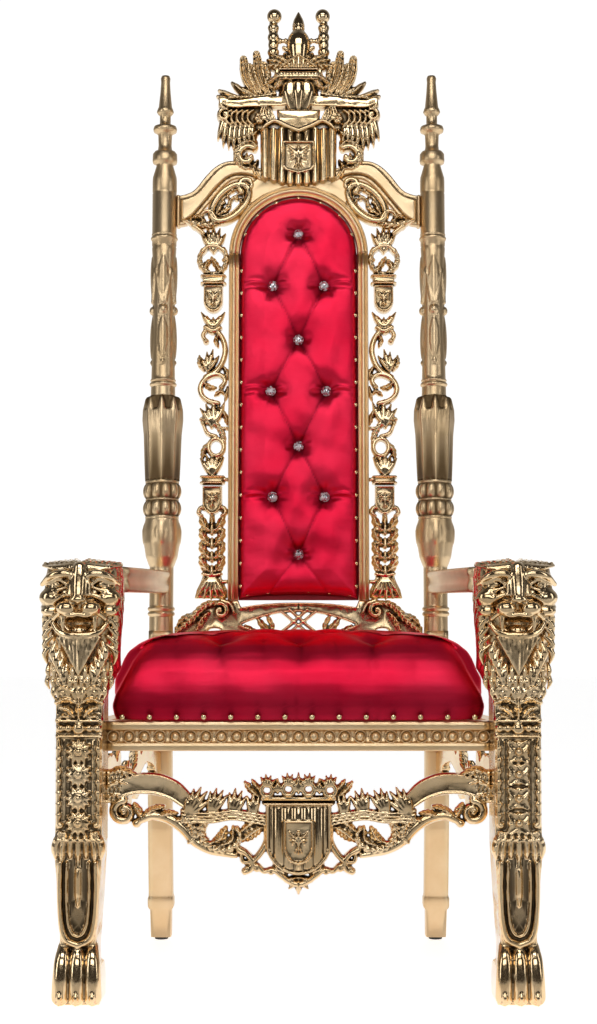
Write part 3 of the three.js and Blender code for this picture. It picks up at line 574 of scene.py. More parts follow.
def rosettes(wood, petals):
    """Four flowers up the panel, fluted and round with six petals or four-petalled."""
    for z in (416, 379, 340, 300):
        wood.boss(0, z, 19, 5, form="flat")
        for i in range(petals):
            angle = 2 * math.pi * (i + 0.5) / petals
            if petals == 4:
                tip = (19 * math.cos(angle), z + 19 * math.sin(angle))
                wood.stroke([(0, z), tip], [4, 9.5, 6], [9, 11, 9], "hollow", raw=True)
            else:
                for turn in (0, math.pi / petals):
                    tip = (19 * math.cos(angle + turn), z + 19 * math.sin(angle + turn))
                    wood.stroke([(0, z), tip], [2, 5.0, 3.4], [9, 10, 7], raw=True)
        wood.boss(0, z, 7, 7, 7)
    wood.lay(LEG_FACE + 1, LEG_FACE + 14)


plain_leg = lion()
for side, name, petals in ((-1, "left", 6), (1, "right", 4)):
    leg = copy.copy(plain_leg)
    leg.field = plain_leg.field.copy()
    leg.fresh()
    rosettes(leg, petals)
    points, quads, hollow = leg.mesh()
    made = add_mesh(f"lion_leg_{name}_carved", points + (side * LEG_X, 0, 0), quads, BRIGHT_GOLD, hollow)
    settle(thin(made, 0.58), "bright_gold", f"lion_leg_{name}")

# ---------- rear posts ----------
# Each back leg and post is one turned and carved baluster over a sabre leg: two rings at the arm, a vase, two rows of
# gadroons, a sleeve of long leaves, a leaf motif with a knot, and a tapering finial. Satin leaf, leaning with the back.
BACK_Y = 231.3
RAKE = 0.056
SEAT_Z = 460
POST_X = 269
POST_SIDES = 72
POST = np.array([
    [597, 23.5], [729, 23.5], [732, 25], [748, 31], [776, 35.5], [800, 36], [822, 33], [828, 30], [895, 30],
    [899, 27],
    [1064, 24.5], [1224, 21], [1258, 20.5], [1352, 23.5], [1369, 24.5], [1371.5, 23.2], [1374, 24.5], [1480, 24.5],
    [1482, 23.4], [1484, 24.5], [1507, 24.5], [1514, 24], [1538, 17], [1541, 17.5], [1544, 24], [1549, 25],
    [1562, 24.5],
    [1567, 21], [1570, 14.5], [1580, 13.2], [1602, 14], [1606, 17], [1609, 23], [1614, 24], [1619, 22.5],
    [1622, 14],
    [1626, 11], [1642, 11], [1646, 15], [1650, 17.3], [1656, 15.5], [1660, 13.5], [1690, 10.5], [1712, 9],
    [1720, 9.8],
    [1725, 8], [1726, 0.5]], float)
RINGS = ((637, 4.5, 26.8), (646.5, 4.5, 26.8), (826, 4, 33.5), (861, 4, 33), (896, 4.5, 33.5), (1092, 4.5, 27),
         (1100, 3, 25.5), (1388, 4.5, 27.2), (1396, 2.5, 25.6))
LEG_PATH = np.array([[6.3, 50, 20, 22], [60, 40, 21, 23], [64, 39.5, 24.5, 25.5], [68, 39, 25.5, 26],
                     [82, 36, 25.5, 26],
                     [86, 35.5, 24, 24.5], [90, 35, 23.5, 24], [220, 12, 23.5, 24], [370, 1, 23.5, 24],
                     [604, 8, 23.5, 23.5]])


def raked(points):
    """Points of the back's own upright frame, leant back about the seat rail."""
    x, y, z = np.asarray(points, float).T
    lean, stand = math.sin(RAKE), math.cos(RAKE)
    return np.stack([x, BACK_Y + y * stand + (z - SEAT_Z) * lean, SEAT_Z + (z - SEAT_Z) * stand - y * lean], -1)


def skin(rings, closed=True, caps=True):
    """Quads through rings of equal length, with the two ends closed."""
    count, size = rings.shape[:2]
    i, j = np.meshgrid(np.arange(count - 1), np.arange(size if closed else size - 1), indexing="ij")
    k = (j + 1) % size
    faces = np.stack([i * size + j, i * size + k, (i + 1) * size + k, (i + 1) * size + j],
                     -1).reshape(-1, 4).tolist()
    if caps and closed:
        faces += [list(range(size))[::-1], list(range((count - 1) * size, count * size))]
    return rings.reshape(-1, 3), faces


def dome(u):
    return np.sqrt(np.clip(1 - u * u, 0, 1))


def post_radius(z, angle):
    """Radius of the post at a height and angle, with its carving, and how hollow the carving is there."""
    r = np.interp(z, POST[:, 0], POST[:, 1]) + 0 * angle
    for centre, half, top in RINGS:
        r = np.where(np.abs(z - centre) < half, np.maximum(r, top - half + half * dome((z - centre) / half)), r)
    bare = r.copy()
    for centre in (844, 878.5):
        u = (z - centre) / 16
        ball = np.abs(np.cos(5 * angle)) ** 0.45
        r = np.where(np.abs(u) < 1, np.maximum(r, 28.5 + 9.5 * dome(u) * ball), r)
        bare = np.where(np.abs(u) < 1, 36, bare)
    # the sleeve: eight long leaves whose tips curl over, with eight shorter ones between
    for turn, top, lift in ((0.0, 1069, 2.5), (math.pi / 8, 1044, 0.0)):
        u = np.abs(((angle + turn + math.pi / 8) % (math.pi / 4)) - math.pi / 8) / (math.pi / 8)
        wide = 1.02 * np.sqrt(np.clip((top - z) / 62, 0, 1)) * np.clip((z - 898) / 6, 0, 1)
        body = np.interp(z, [898, 930, 990, 1020, 1040, top - 6, top], [30, 31.5, 33.5, 36.5, 36, 31, 26]) + lift
        rib = body * (1 - 0.10 * (u / np.maximum(wide, 0.05)) ** 2) + 1.6 * np.exp(-((u / 0.16) ** 2))
        r = np.where((u < wide) & (z > 898), np.maximum(r, rib), r)
        bare = np.where((z > 898) & (z < 1069), 36, bare)
    # the leaf motif on each of four faces: blades above and below a knot, and a hanging bead
    u = (((angle + math.pi / 4) % (math.pi / 2)) - math.pi / 4) * 23
    for low, high, half, swell in ((1250, 1352, 10.5, 5.0), (1142, 1232, 9.5, 5.0)):
        t = np.clip((z - low) / (high - low), 0, 1)
        wide = half * np.sin(math.pi * t) ** 0.7
        inside = (np.abs(u) < wide) & (t > 0) & (t < 1)
        blade = swell * (1 - 0.55 * np.abs(u) / np.maximum(wide, 0.1)) * np.sin(math.pi * t) ** 0.5
        r = np.where(inside, r + np.maximum(blade, 1.5), r)
    for side in (-1, 1):
        t = np.clip((z - 1256) / 74, 0, 1)
        centre = side * (3 + 14.5 * t**0.8)
        wide = 4.6 * (1 - t) ** 0.5
        r = np.where((np.abs(u - centre) < wide) & (t > 0) & (t < 1),
                     np.maximum(r, 25.5 - 2.5 * ((u - centre) / np.maximum(wide, 0.1)) ** 2), r)
    knot = np.hypot(u / 9.5, (z - 1241) / 9.5)
    r = np.where(knot < 1, np.maximum(r, 21 + 7.5 * dome(knot)), r)
    bead = np.hypot(u / 5, (z - 1136) / 5)
    r = np.where(bead < 1, np.maximum(r, 21.5 + 5 * dome(bead)), r)
    drop = np.hypot(u / 7, (z - 795) / 22)
    r = np.where(drop < 1, r + 3 * dome(drop), r)
    # The second value darkens the leaf where the carving sits below its bare turning: patina and painted shade.
    return r, np.clip(0.5 + (bare - r) * 0.05, 0.4, 0.85) * (bare > 30) + 0.5 * (bare <= 30)


fine = list(POST[:, 0]) + [c + d for c, h, _ in RINGS for d in (-h, -0.7 * h, 0, 0.7 * h, h)]
heights = np.unique(np.round(np.concatenate([fine, np.arange(600, 820, 6), np.arange(820, 1106, 2.6),
                                             np.arange(1110, 1360, 3.2)]), 1))
heights = heights[np.concatenate([[True], np.diff(heights) > 0.45])]
turn = np.arange(POST_SIDES) / POST_SIDES * 2 * math.pi
z_grid, turn_grid = np.meshgrid(heights, turn, indexing="ij")
radius, post_hollow = post_radius(z_grid, turn_grid)
shaft = raked(np.stack([radius * np.cos(turn_grid), radius * np.sin(turn_grid), z_grid], -1).reshape(-1, 3))
shaft_points, shaft_faces = skin(shaft.reshape(len(heights), POST_SIDES, 3))


def rounded_rows(rows, count=40, power=9):
    """Rings of rounded rectangles from rows of height, middle x, middle y, half width and half depth."""
    a = np.arange(count) / count * 2 * math.pi
    a = a - 0.22 * np.sin(4 * a)
    c, s = np.cos(a), np.sin(a)
    square = (np.abs(c) ** power + np.abs(s) ** power) ** (-1 / power)
    return np.stack([np.stack([x + half * c * square, y + deep * s * square, np.full(count, z)], -1)
                     for z, x, y, half, deep in rows])


levels = np.unique(np.concatenate([LEG_PATH[:, 0], np.arange(90, 604, 12)]))
leg_rows = [(z, 0, BACK_Y + np.interp(z, LEG_PATH[:, 0], LEG_PATH[:, 1]),
             np.interp(z, LEG_PATH[:, 0], LEG_PATH[:, 2]),
             np.interp(z, LEG_PATH[:, 0], LEG_PATH[:, 3])) for z in levels]
leg_points, leg_faces = skin(rounded_rows(leg_rows))
post_points = np.vstack([shaft_points, leg_points])
post_faces = shaft_faces + [[i + len(shaft_points) for i in face] for face in leg_faces]
post_shade = np.concatenate([post_hollow.ravel(), np.full(len(leg_points), 0.5)])
for side, name in ((-1, "left"), (1, "right")):
    made = add_mesh(f"rear_post_{name}_turned", post_points + (side * POST_X, 0, 0), post_faces, SATIN_GOLD,
                    post_shade)
    settle(made, "bright_gold", f"rear_post_{name}")

# ---------- seat rails and arms ----------
# The front rail is a moulding with a satin fillet, a row of balls in cups and a lower band. Side and back rails are
# plain bars tenoned into the posts. The arms are moulded bars with a groove, let into the lions' manes.
RAIL_FACE = FRONT + 95
BEAD_PITCH = 26
BEADS = 25
RAIL_END = 321.7
RAIL_BEAD_Z = 434
ARM_FROM = (313, FRONT + 150)
ARM_TO_X = 271
ARM_HALF = 21


def joined(parts):
    """One set of points and faces from several."""
    points, faces, start = [], [], 0
    for p, f in parts:
        points.append(np.asarray(p, float))
        faces += [[i + start for i in face] for face in f]
        start += len(p)
    return np.vstack(points), faces


def lathe(rows, sides=16, place=(0, 0, 0), facing="z"):
    """Turned work from rows of height and radius, standing up or facing forwards."""
    a = np.arange(sides) / sides * 2 * math.pi
    rings = np.stack([np.stack([r * np.cos(a), r * np.sin(a), np.full(sides, z)], -1) for z, r in rows])
    if facing == "front":
        rings = np.stack([rings[..., 0], -rings[..., 2], rings[..., 1]], -1)
    return skin(rings + np.array(place, float))


rail_section = np.array([[26, 410], [1.5, 410], [0, 411.5], [-0.5, 417], [0, 422], [1.5, 423.5], [4, 424.5],
                         [6, 427],
                         [7.5, 434], [6, 441], [4, 443.5], [1, 444.5], [-2.5, 445.5], [-4, 447.5], [-5, 453],
                         [-4, 458.5],
                         [-2, 460], [26, 460]])
rail_x = np.linspace(-RAIL_END, RAIL_END, 60)
rail = np.stack([np.stack([np.full(len(rail_section), x), RAIL_FACE + rail_section[:, 0], rail_section[:, 1]],
                          -1) for x in rail_x])
parts = [skin(rail)]
cup = [(-8, 10.8), (-1.5, 11.6), (0.3, 11), (0.6, 10), (-1, 8.8), (-6, 8.2)]
ball = [(-3, 7.4)] + [(7.6 * math.sin(t), 7.6 * math.cos(t)) for t in np.linspace(0.1, 1.5, 6)]
for i in range(BEADS):
    x = (i - (BEADS - 1) / 2) * BEAD_PITCH
    parts += [lathe(cup, 18, (x, RAIL_FACE + 2, RAIL_BEAD_Z), "front"),
              lathe(ball, 16, (x, RAIL_FACE + 3, RAIL_BEAD_Z), "front")]
settle(add_mesh("seat_rail_front_moulded", *joined(parts), SATIN_GOLD), "satin_gold", "seat_rail_front")

arm_section = np.array([[-0.93, 683], [-0.86, 679], [-0.7, 677.3], [0.7, 677.3], [0.86, 679], [0.93, 683],
                        [0.96, 690],
                        [0.9, 694], [0.83, 697], [0.83, 704], [0.9, 707], [0.97, 710], [1.0, 714], [0.95, 718],
                        [0.8, 720.6],
                        [0.3, 722], [-0.3, 722], [-0.8, 720.6], [-0.95, 718], [-1.0, 714], [-0.97, 710],
                        [-0.9, 707],
                        [-0.83, 704], [-0.83, 697], [-0.9, 694], [-0.96, 690]])
arm_back = BACK_Y + RAKE * (677 - SEAT_Z)
for side, name in ((-1, "left"), (1, "right")):
    start = np.array([side * ARM_FROM[0], ARM_FROM[1], 0])
    end = np.array([side * ARM_TO_X, arm_back, 0])
    across = np.cross((end - start) / np.linalg.norm(end - start), (0, 0, 1)) * ARM_HALF
    arm = np.stack([np.stack([start + (end - start) * t + across * s + (0, 0, z) for s, z in arm_section])
                    for t in np.linspace(0, 1, 24)])
    settle(add_mesh(f"arm_rail_{name}_moulded", *skin(arm), SATIN_GOLD), "satin_gold", f"arm_rail_{name}")

# ---------- front and side stretchers ----------
# The front stretcher is pierced and carved: arched bands from the legs, combs, leaf scrolls, a crowned shield of
# vertical reeds with a small displayed eagle, and a leaf drop. The side stretchers repeat the bands more simply.
APRON_Y = FRONT + 92
BOARD = 9
FIELD = 1.8


def shield_shape(x, top, half, height, count=7):
    """A shield: straight sides and a curved foot that ends in a point."""
    foot = [(x + half * math.cos(t), top - 0.62 * height - 0.38 * height * math.sin(t) ** 1.25)
            for t in np.linspace(0, math.pi / 2, count)]
    left = [(2 * x - a, b) for a, b in foot[-2::-1]]
    return [(x - half, top), (x + half, top), *foot, *left]


def eagle(wood, x, z, size, lift, deep=4.0):
    """A displayed eagle in low relief, with five feathers to a wing, a fanned tail and a turned head."""
    wood.stroke([(x, z + 0.22 * size), (x, z), (x, z - 0.3 * size)], np.array([0.07, 0.13, 0.05]) * size, deep,
                lift=lift)
    wood.stroke([(x, z + 0.2 * size), (x + 0.02 * size, z + 0.38 * size), (x - 0.1 * size, z + 0.4 * size)],
                np.array([0.06, 0.07, 0.02]) * size, deep, lift=lift)
    for side in ((1,) if wood.half and x == 0 else (-1, 1)):
        wood.stroke([(x + side * 0.08 * size, z + 0.12 * size), (x + side * 0.28 * size, z + 0.26 * size),
                     (x + side * 0.45 * size, z + 0.42 * size)], np.array([0.07, 0.07, 0.03]) * size, deep,
                     lift=lift)
        for i in range(4):
            out, down = 0.47 - 0.05 * i, 0.22 - 0.17 * i
            wood.stroke([(x + side * 0.1 * size, z + (0.1 - 0.05 * i) * size),
                         (x + side * 0.3 * size, z + (0.14 - 0.11 * i) * size),
                         (x + side * out * size, z + down * size)], np.array([0.045, 0.05, 0.02]) * size,
                         deep * 0.9, lift=lift)
        wood.stroke([(x, z - 0.25 * size), (x + side * 0.1 * size, z - 0.42 * size),
                     (x + side * 0.14 * size, z - 0.54 * size)],
                    np.array([0.05, 0.06, 0.04]) * size, deep * 0.8, lift=lift)
    wood.stroke([(x, z - 0.25 * size), (x, z - 0.58 * size)], np.array([0.05, 0.05]) * size, deep, lift=lift,
                raw=True)


def small_shield(wood, x, top, half, height, deep):
    wood.slab(shield_shape(x, top, half, height), deep)
    wood.sink(shield_shape(x, top - 3.5, half - 3.5, height - 8.5), deep - 5, 1.2)
    eagle(wood, x, top - 0.46 * height, 1.55 * half, deep - 5, 4.5)


def fan(wood, root, tips, half, deep, lift=0.0, bend_by=0.0):
    """Fluted blades from a root to several tips."""
    for tip in tips:
        middle = ((root[0] + tip[0]) / 2 + bend_by, (root[1] + tip[1]) / 2)
        wood.stroke([root, middle, tip], np.array([0.45, 1, 0.9, 0.25]) * half,
                    [deep * 0.8, deep, deep, deep * 0.5], lift=lift)


def ring(wood, x, z, rx, rz, half, deep, tilt=0.0, form="round"):
    a = np.linspace(0, 2 * math.pi, 25)
    px, pz = rx * np.cos(a), rz * np.sin(a)
    line = np.stack([x + px * math.cos(tilt) - pz * math.sin(tilt), z + px * math.sin(tilt) + pz * math.cos(tilt)],
                    -1)
    wood.stroke(line, half, deep, form, raw=True)


apron = Carving((0, APRON_Y - 30, 168), (323.4, APRON_Y + 14, 386), FIELD, half=True)
# arched band with raised edges, its leaf and volute at the leg
band = [(318, 336), (300, 347), (278, 354), (256, 356), (232, 353), (208, 343), (190, 328), (178, 314)]
apron.stroke(band, [13, 16, 17, 18, 18, 17, 14, 9], 8, "flat")
apron.stroke(band, [13, 16, 17, 18, 18, 17, 14, 9], 12, "hollow")
apron.slab([(296, 326), (323.4, 326), (323.4, 380), (292, 380)], lambda x, z,
           d: 9 + 1.5 * np.sin(x * 0.9 + np.sin(z * 0.5)) * np.sin(z * 0.7), 3)
for points, half in (([(322, 372), (300, 378), (276, 372)], 8), ([(322, 352), (302, 360), (284, 354)], 8),
                     ([(322, 334), (306, 338), (292, 332)], 8), ([(300, 384), (292, 372), (280, 366)], 6)):
    apron.leaf(points, half, 14, 4)
apron.stroke(spiral(293, 309, 19, 6, 0.24, -1.15), [9, 9, 8, 6], [13, 14, 13, 12])
apron.boss(293, 309, 7, 15)
apron.leaf([(276, 322), (268, 308), (262, 296)], 8, 11, 3)
# lower band with its leaves
low_band = [(274, 290), (260, 298), (243, 303), (216, 297), (193, 281), (175, 261), (150, 246), (124, 240),
            (106, 237)]
apron.stroke(low_band, [6, 8, 9, 10, 10, 9, 8, 7, 6], 11)
apron.leaf([(262, 302), (246, 312), (226, 318)], 7, 14, 5)
apron.leaf([(240, 300), (222, 306), (204, 306)], 7, 14, 5)
apron.leaf([(216, 292), (200, 296), (186, 292)], 6, 13, 4)
apron.boss(272, 290, 8, 12)
# three combs of flutes along the top and a fourth by the shield
fan(apron, (188, 300), [(186, 338), (176, 346), (164, 349), (154, 342), (148, 330)], 7, 12)
fan(apron, (150, 300), [(148, 342), (138, 347), (127, 344), (120, 336)], 6.5, 12)
fan(apron, (112, 300), [(116, 340), (106, 347), (95, 343), (88, 334)], 6.5, 12)
fan(apron, (76, 298), [(86, 334), (76, 340), (66, 336)], 6.5, 12)
# reeded stem and leaf curls
for shift in (-7.5, -2.5, 2.5, 7.5):
    apron.stroke([(196, 302 + shift * 1.2), (168, 300 + shift), (142, 300 + shift), (108, 304 + shift * 0.9),
                  (54, 296 + shift)],
                 3.3, [11, 13, 13, 12])
apron.stroke([(190, 300), (178, 284), (176, 266), (184, 258)], [9, 9, 8, 4], 13, lobes=7)
apron.stroke([(160, 292), (164, 272), (150, 252), (126, 245), (106, 254), (98, 270), (104, 282)],
             [10, 10, 9, 9, 8, 6, 4],
             13, lobes=12, lobed=0)
apron.leaf([(144, 258), (130, 266), (122, 282)], 10, 13, 4)
apron.leaf([(136, 252), (112, 262), (110, 284)], 7, 14, 4)
apron.boss(103, 281, 5, 14)
apron.leaf([(60, 284), (76, 276), (94, 262)], 12, 13, 5)
apron.leaf([(66, 292), (82, 288), (96, 276)], 7, 12, 4)
apron.stroke([(56, 292), (53, 264), (62, 243), (76, 228), (92, 226), (96, 236)], [5, 6, 6, 6, 5, 4], 11)
apron.stroke([(100, 246), (88, 240), (78, 228), (80, 214), (90, 208)], [7, 6, 6, 6, 5], 12)
apron.boss(90, 210, 6.5, 13)
apron.stroke([(86, 216), (70, 220), (58, 210), (44, 213), (30, 204), (16, 194), (0, 188)], [5, 5, 5, 5, 6, 6, 6],
             11)
apron.boss(70, 214, 6, 12)
apron.boss(46, 208, 5, 12)
apron.leaf([(20, 206), (34, 214), (42, 226)], 7, 12, 3)
for points, half in (([(0, 196), (0, 186), (0, 173)], 6), ([(0, 192), (9, 187), (16, 181)], 4.5),
                     ([(0, 200), (12, 198), (22, 192)], 5)):
    apron.leaf(points, half, 13, 2)
# crown of four loops over the shield, its leafy tips and side leaf
apron.stroke([(0, 331), (60, 331)], [5, 5], 10)
for x, z in ((53, 345), (17, 347)):
    ring(apron, x, z, 9.5, 10, 5, 12)
    fan(apron, (x, z + 4), [(x - 15, z + 18), (x - 7, z + 24), (x + 2, z + 26), (x + 11, z + 22)], 4.2, 13)
fan(apron, (35, 340), [(30, 356), (35, 364), (41, 356)], 4.5, 12)
fan(apron, (0, 340), [(0, 358), (0, 374), (7, 362)], 5, 13)
apron.leaf([(66, 334), (80, 346), (90, 358)], 7, 11, 4)
apron.leaf([(64, 344), (74, 356), (78, 362)], 5, 11, 3)
# shield with vertical reeds and the inner shield
outer = shield_shape(0, 327, 56, 124)
apron.slab(outer, 15, 2.5)
apron.sink(shield_shape(0, 320, 50, 111), 9, 2)
apron.slab(shield_shape(0, 319, 49.5, 109), lambda x, z, d: 9.5 + 4.5 * np.abs(np.cos(math.pi * x / 16.5)) ** 0.7,
           2)
apron.stroke([(0, 323), (58, 323)], 4, 18, "flat")
apron.slab(shield_shape(0, 297, 26, 76), 17, 1.5)
apron.sink(shield_shape(0, 293, 22.5, 67), 11.5, 1.2)
eagle(apron, 0, 262, 38, 11.5, 5)
for x, z in ((53, 345), (17, 347)):
    apron.eyelet(x, z, 5, 5.2, 12)
apron.lay(APRON_Y, APRON_Y + BOARD)
points, quads, hollow = apron.mesh()
settle(thin(add_mesh("apron_front_carved", points, quads, BRIGHT_GOLD, hollow), 0.57), "bright_gold", "apron_front")

SIDE_FROM = np.array([356, LEG_FACE + 102.6])
SIDE_TO = np.array([274, BACK_Y - 24.6])
SIDE_SPAN = float(np.linalg.norm(SIDE_TO - SIDE_FROM))
half_span = SIDE_SPAN / 2 - 0.2
stretcher = Carving((0, -18, 270), (half_span, 12, 404), 2.4, half=True)
hump = [(half_span + 14, 348), (186, 360), (150, 372), (112, 376), (80, 364), (50, 348), (-6, 330)]
stretcher.stroke(hump, [17, 17, 17, 16, 15, 14, 13], 6, "flat")
stretcher.stroke(hump, [17, 17, 17, 16, 15, 14, 13], 10, "hollow")
stretcher.stroke(spiral(180, 324, 19, 5, 0.25, -1.1), [8, 8, 6], 11)
stretcher.boss(180, 324, 6, 12)
stretcher.leaf([(46, 340), (62, 370), (58, 396)], 13, 12, 5)
stretcher.leaf([(70, 356), (88, 378), (104, 392)], 9, 11, 4)
stretcher.leaf([(28, 326), (44, 308), (62, 306)], 9, 10, 4)
fan(stretcher, (0, 352), [(0, 276), (14, 288), (26, 304)], 10, 11)
fan(stretcher, (0, 330), [(0, 372), (14, 366)], 8, 10)
stretcher.lay(0, BOARD)
stretch_points, stretch_quads, stretch_hollow = stretcher.mesh()
for side, name in ((-1, "left"), (1, "right")):
    run = SIDE_TO - SIDE_FROM
    middle = (SIDE_FROM + SIDE_TO) / 2
    angle = side * math.atan2(run[1], run[0])
    c, s = math.cos(angle), math.sin(angle)
    x, y, z = stretch_points.T
    placed = np.stack([side * middle[0] + x * c - y * s, middle[1] + x * s + y * c, z], -1)
    made = add_mesh(f"apron_side_{name}_carved", placed, stretch_quads, BRIGHT_GOLD, stretch_hollow)
    settle(thin(made, 0.57), "bright_gold", f"apron_side_{name}")

# ---------- back frame and crest rail ----------
# A tall arched frame of triple rounded moulding in satin leaf, jointed where the arch springs. Above it two swept wings
# with a raised flat and a bevelled edge reach the posts, and pierced kidney scrolls in bright leaf fill the corners.
FRAME_IN = 117.5
FRAME_OUT = 139
FRAME_FOOT = 664
ARCH_Z = 1355
MOULDING = np.array([[1, 15.5], [0, 15.5], [0, -6], [0.01, -11], [0.06, -13.5], [0.13, -14], [0.18, -12],
                     [0.22, -10.5],
                     [0.27, -11.5], [0.33, -15], [0.42, -17.6], [0.52, -18.3], [0.62, -17.6], [0.70, -15],
                     [0.75, -12],
                     [0.79, -11], [0.83, -12.5], [0.88, -14.6], [0.94, -14.3], [0.985, -12], [1, -8]])


def moulding_rings(centres):
    """Rings of the frame moulding about centres: x, z and the direction from the inside out."""
    reach = FRAME_IN + MOULDING[:, 0] * (FRAME_OUT - FRAME_IN)
    return np.stack([np.stack([cx + dx * reach, MOULDING[:, 1], cz + dz * reach], -1) for cx, cz, dx,
                     dz in centres])


for side, name in ((-1, "left"), (1, "right")):
    stile = moulding_rings([(0, z, side, 0) for z in np.linspace(FRAME_FOOT + 0.3, ARCH_Z - 0.3, 20)])
    points, faces = skin(stile)
    settle(add_mesh(f"back_stile_{name}_moulded", raked(points), faces, SATIN_GOLD), "satin_gold",
           f"back_stile_{name}")
arch = moulding_rings([(0, ARCH_Z, math.cos(a), math.sin(a)) for a in np.linspace(0, math.pi, 65)])
points, faces = skin(arch)
settle(add_mesh("arch_moulded", raked(points), faces, SATIN_GOLD), "satin_gold", "crest_rail")

wing = Carving((0, -24, 1404), (245.6, 14, 1556), 1.7, half=True)
wing_line = bend([(0, 1524), (78, 1534), (112, 1547), (142, 1548), (165, 1538), (185, 1519), (208, 1490),
                  (226, 1480), (244.2, 1476)], 5)
wing_foot = bend([(244.2, 1414), (222, 1418), (204, 1432), (182, 1458), (156, 1490), (134, 1508), (112, 1512),
                  (92, 1506)], 5)
spandrel = [(a, 1355 + b) for a,
            b in ((138 * math.cos(t), 138 * math.sin(t)) for t in np.linspace(0.95, math.pi / 2, 12))]
band = [*wing_line, *wing_foot, *spandrel]
wing.slab(band, 3, 1.5)
inner = [*bend([(60, 1524), (84, 1530), (112, 1540), (141, 1541), (161, 1531), (180, 1511), (203, 1483),
                (222, 1472), (236, 1469)], 4),
         *bend([(236, 1422), (223, 1425), (208, 1437), (187, 1462), (161, 1494), (138, 1513), (112, 1518),
                (86, 1512), (60, 1500)], 4)]
wing.slab(inner, 11, 4)
wing.slab([(244.2, 1412), (244.2, 1478), (238, 1478), (238, 1412)], 9, 1.5)
wing.slab([(0, 1492), (30, 1490), (70, 1474), (92, 1458), (104, 1448), (100, 1500), (70, 1522), (0, 1522)], 7, 3)
wing.lay(-2, 13)
points, quads, hollow = wing.mesh()
settle(thin(add_mesh("crest_wings", raked(points), quads, SATIN_GOLD, hollow), 0.35), "satin_gold")

kidney = Carving((60, -30, 1396), (244, 12, 1522), 1.5)
ring(kidney, 137, 1461, 47, 26, 8.5, 15, 2.36)
ring(kidney, 137, 1461, 36, 16, 2.2, 8, 2.36)
kidney.stroke(spiral(104, 1496, 17, 5, -0.15, 1.1), [8, 8, 6, 5], [15, 14, 12])
kidney.boss(104, 1495, 6, 16)
kidney.stroke([(160, 1436), (142, 1450), (136, 1466), (120, 1478)], [3, 7, 5, 3], 12, lobes=5)
for x, z, r in ((150, 1462, 5), (142, 1474, 4.5), (132, 1486, 4), (158, 1450, 5), (124, 1470, 5)):
    kidney.boss(x, z, r, 11)
kidney.stroke([(118, 1440), (112, 1454), (116, 1468)], [6, 7, 4], 12, lobes=4)
kidney.leaf([(172, 1432), (160, 1446), (150, 1470)], 7, 12, 4)
kidney.stroke([(232, 1424), (214, 1420), (196, 1416), (176, 1416), (160, 1424)], [3, 7, 8, 9, 7], 14, lobes=6)
kidney.stroke([(166, 1428), (176, 1442), (190, 1440), (196, 1430)], [6, 6, 5, 3], 15)
kidney.leaf([(186, 1420), (200, 1432), (216, 1428)], 8, 15, 4)
kidney.leaf([(120, 1432), (104, 1446), (92, 1466)], 8, 10, 4)
kidney.boss(207, 1412, 6, 12)
kidney.lay(-2, 9)
points, quads, hollow = kidney.mesh()
for side, name in ((1, "right"), (-1, "left")):
    faces = quads if side > 0 else quads[:, ::-1]
    made = add_mesh(f"kidney_scroll_{name}", raked(points * (side, 1, 1)), faces, BRIGHT_GOLD, hollow)
    settle(thin(made, 0.6), "bright_gold")

# ---------- pierced borders ----------
# A narrow fretwork column stands beside each stile: fans, scrolls, two small eagle shields under caps, a flower, a ring,
# chevrons of leaves and a bell-shaped skirt. Limewood in bright leaf, pinned to the stile where its scrolls touch it.
column = Carving((139.4, -26, 662), (216, 12, 1420), 1.55)
MID = 170
fan(column, (MID, 1360), [(146, 1398), (157, 1409), (170, 1415), (183, 1410), (195, 1398)], 7, 13)
column.stroke([(148, 1362), (160, 1370), (MID, 1372), (182, 1370), (193, 1360)], [6, 5, 5, 5, 6], 14)
column.stroke([(190, 1398), (202, 1408), (212, 1414)], [5, 5, 4], 12)
column.boss(210, 1413, 5.5, 13)
column.stroke([(150, 1366), (144, 1348), (148, 1330), (160, 1318), (172, 1316)], [6, 6, 6, 6, 6], 12, lobes=6)
column.stroke([(192, 1364), (198, 1348), (194, 1332), (182, 1320)], [5, 6, 7, 7], 12, lobes=5)
column.leaf([(152, 1318), (162, 1330), (174, 1350)], 7, 13, 4)
column.leaf([(188, 1318), (184, 1336), (174, 1346)], 7, 12, 4)


def cap(low, high, half):
    column.slab([(MID - half, low), (MID + half, low), (MID + half + 2, high), (MID - half - 2, high)], 10, 1.5)
    for z in (low + 4, high - 4):
        column.stroke([(MID - half - 2, z), (MID + half + 2, z)], 3.5, 15)


cap(1292, 1315, 21)
small_shield(column, MID, 1292, 20, 56, 15)
fan(column, (MID, 1200), [(147, 1238), (158, 1230), (MID, 1228), (182, 1230), (194, 1238)], 6.5, 13)
column.stroke([(156, 1206), (MID, 1199), (186, 1207)], [5, 7, 5], 14)
# the large C scroll opens to the stile and holds a tulip, the smaller one opens the other way
column.stroke([(184, 1178), (190, 1192), (180, 1203), (164, 1200), (151, 1184), (146, 1162), (151, 1138),
               (164, 1118), (184, 1106)],
              [5, 5, 6, 6, 6, 6, 6, 7, 7], 12)
column.boss(184, 1179, 6.5, 14)
fan(column, (180, 1118), [(158, 1150), (170, 1163), (182, 1158), (193, 1146)], 6, 13)
column.leaf([(156, 1196), (164, 1182), (160, 1168)], 6, 12, 4)
column.leaf([(188, 1120), (196, 1134), (197, 1150)], 6, 12, 4)
column.leaf([(150, 1128), (142, 1116), (141, 1104)], 6, 12, 3)
column.stroke([(152, 1088), (146, 1100), (156, 1111), (172, 1110), (188, 1100), (195, 1084), (190, 1068),
               (176, 1058), (160, 1054)],
              [5, 5, 6, 6, 6, 6, 6, 6, 6], 12)
column.boss(153, 1087, 6, 14)
column.leaf([(188, 1096), (176, 1086), (164, 1086)], 7, 12, 4)
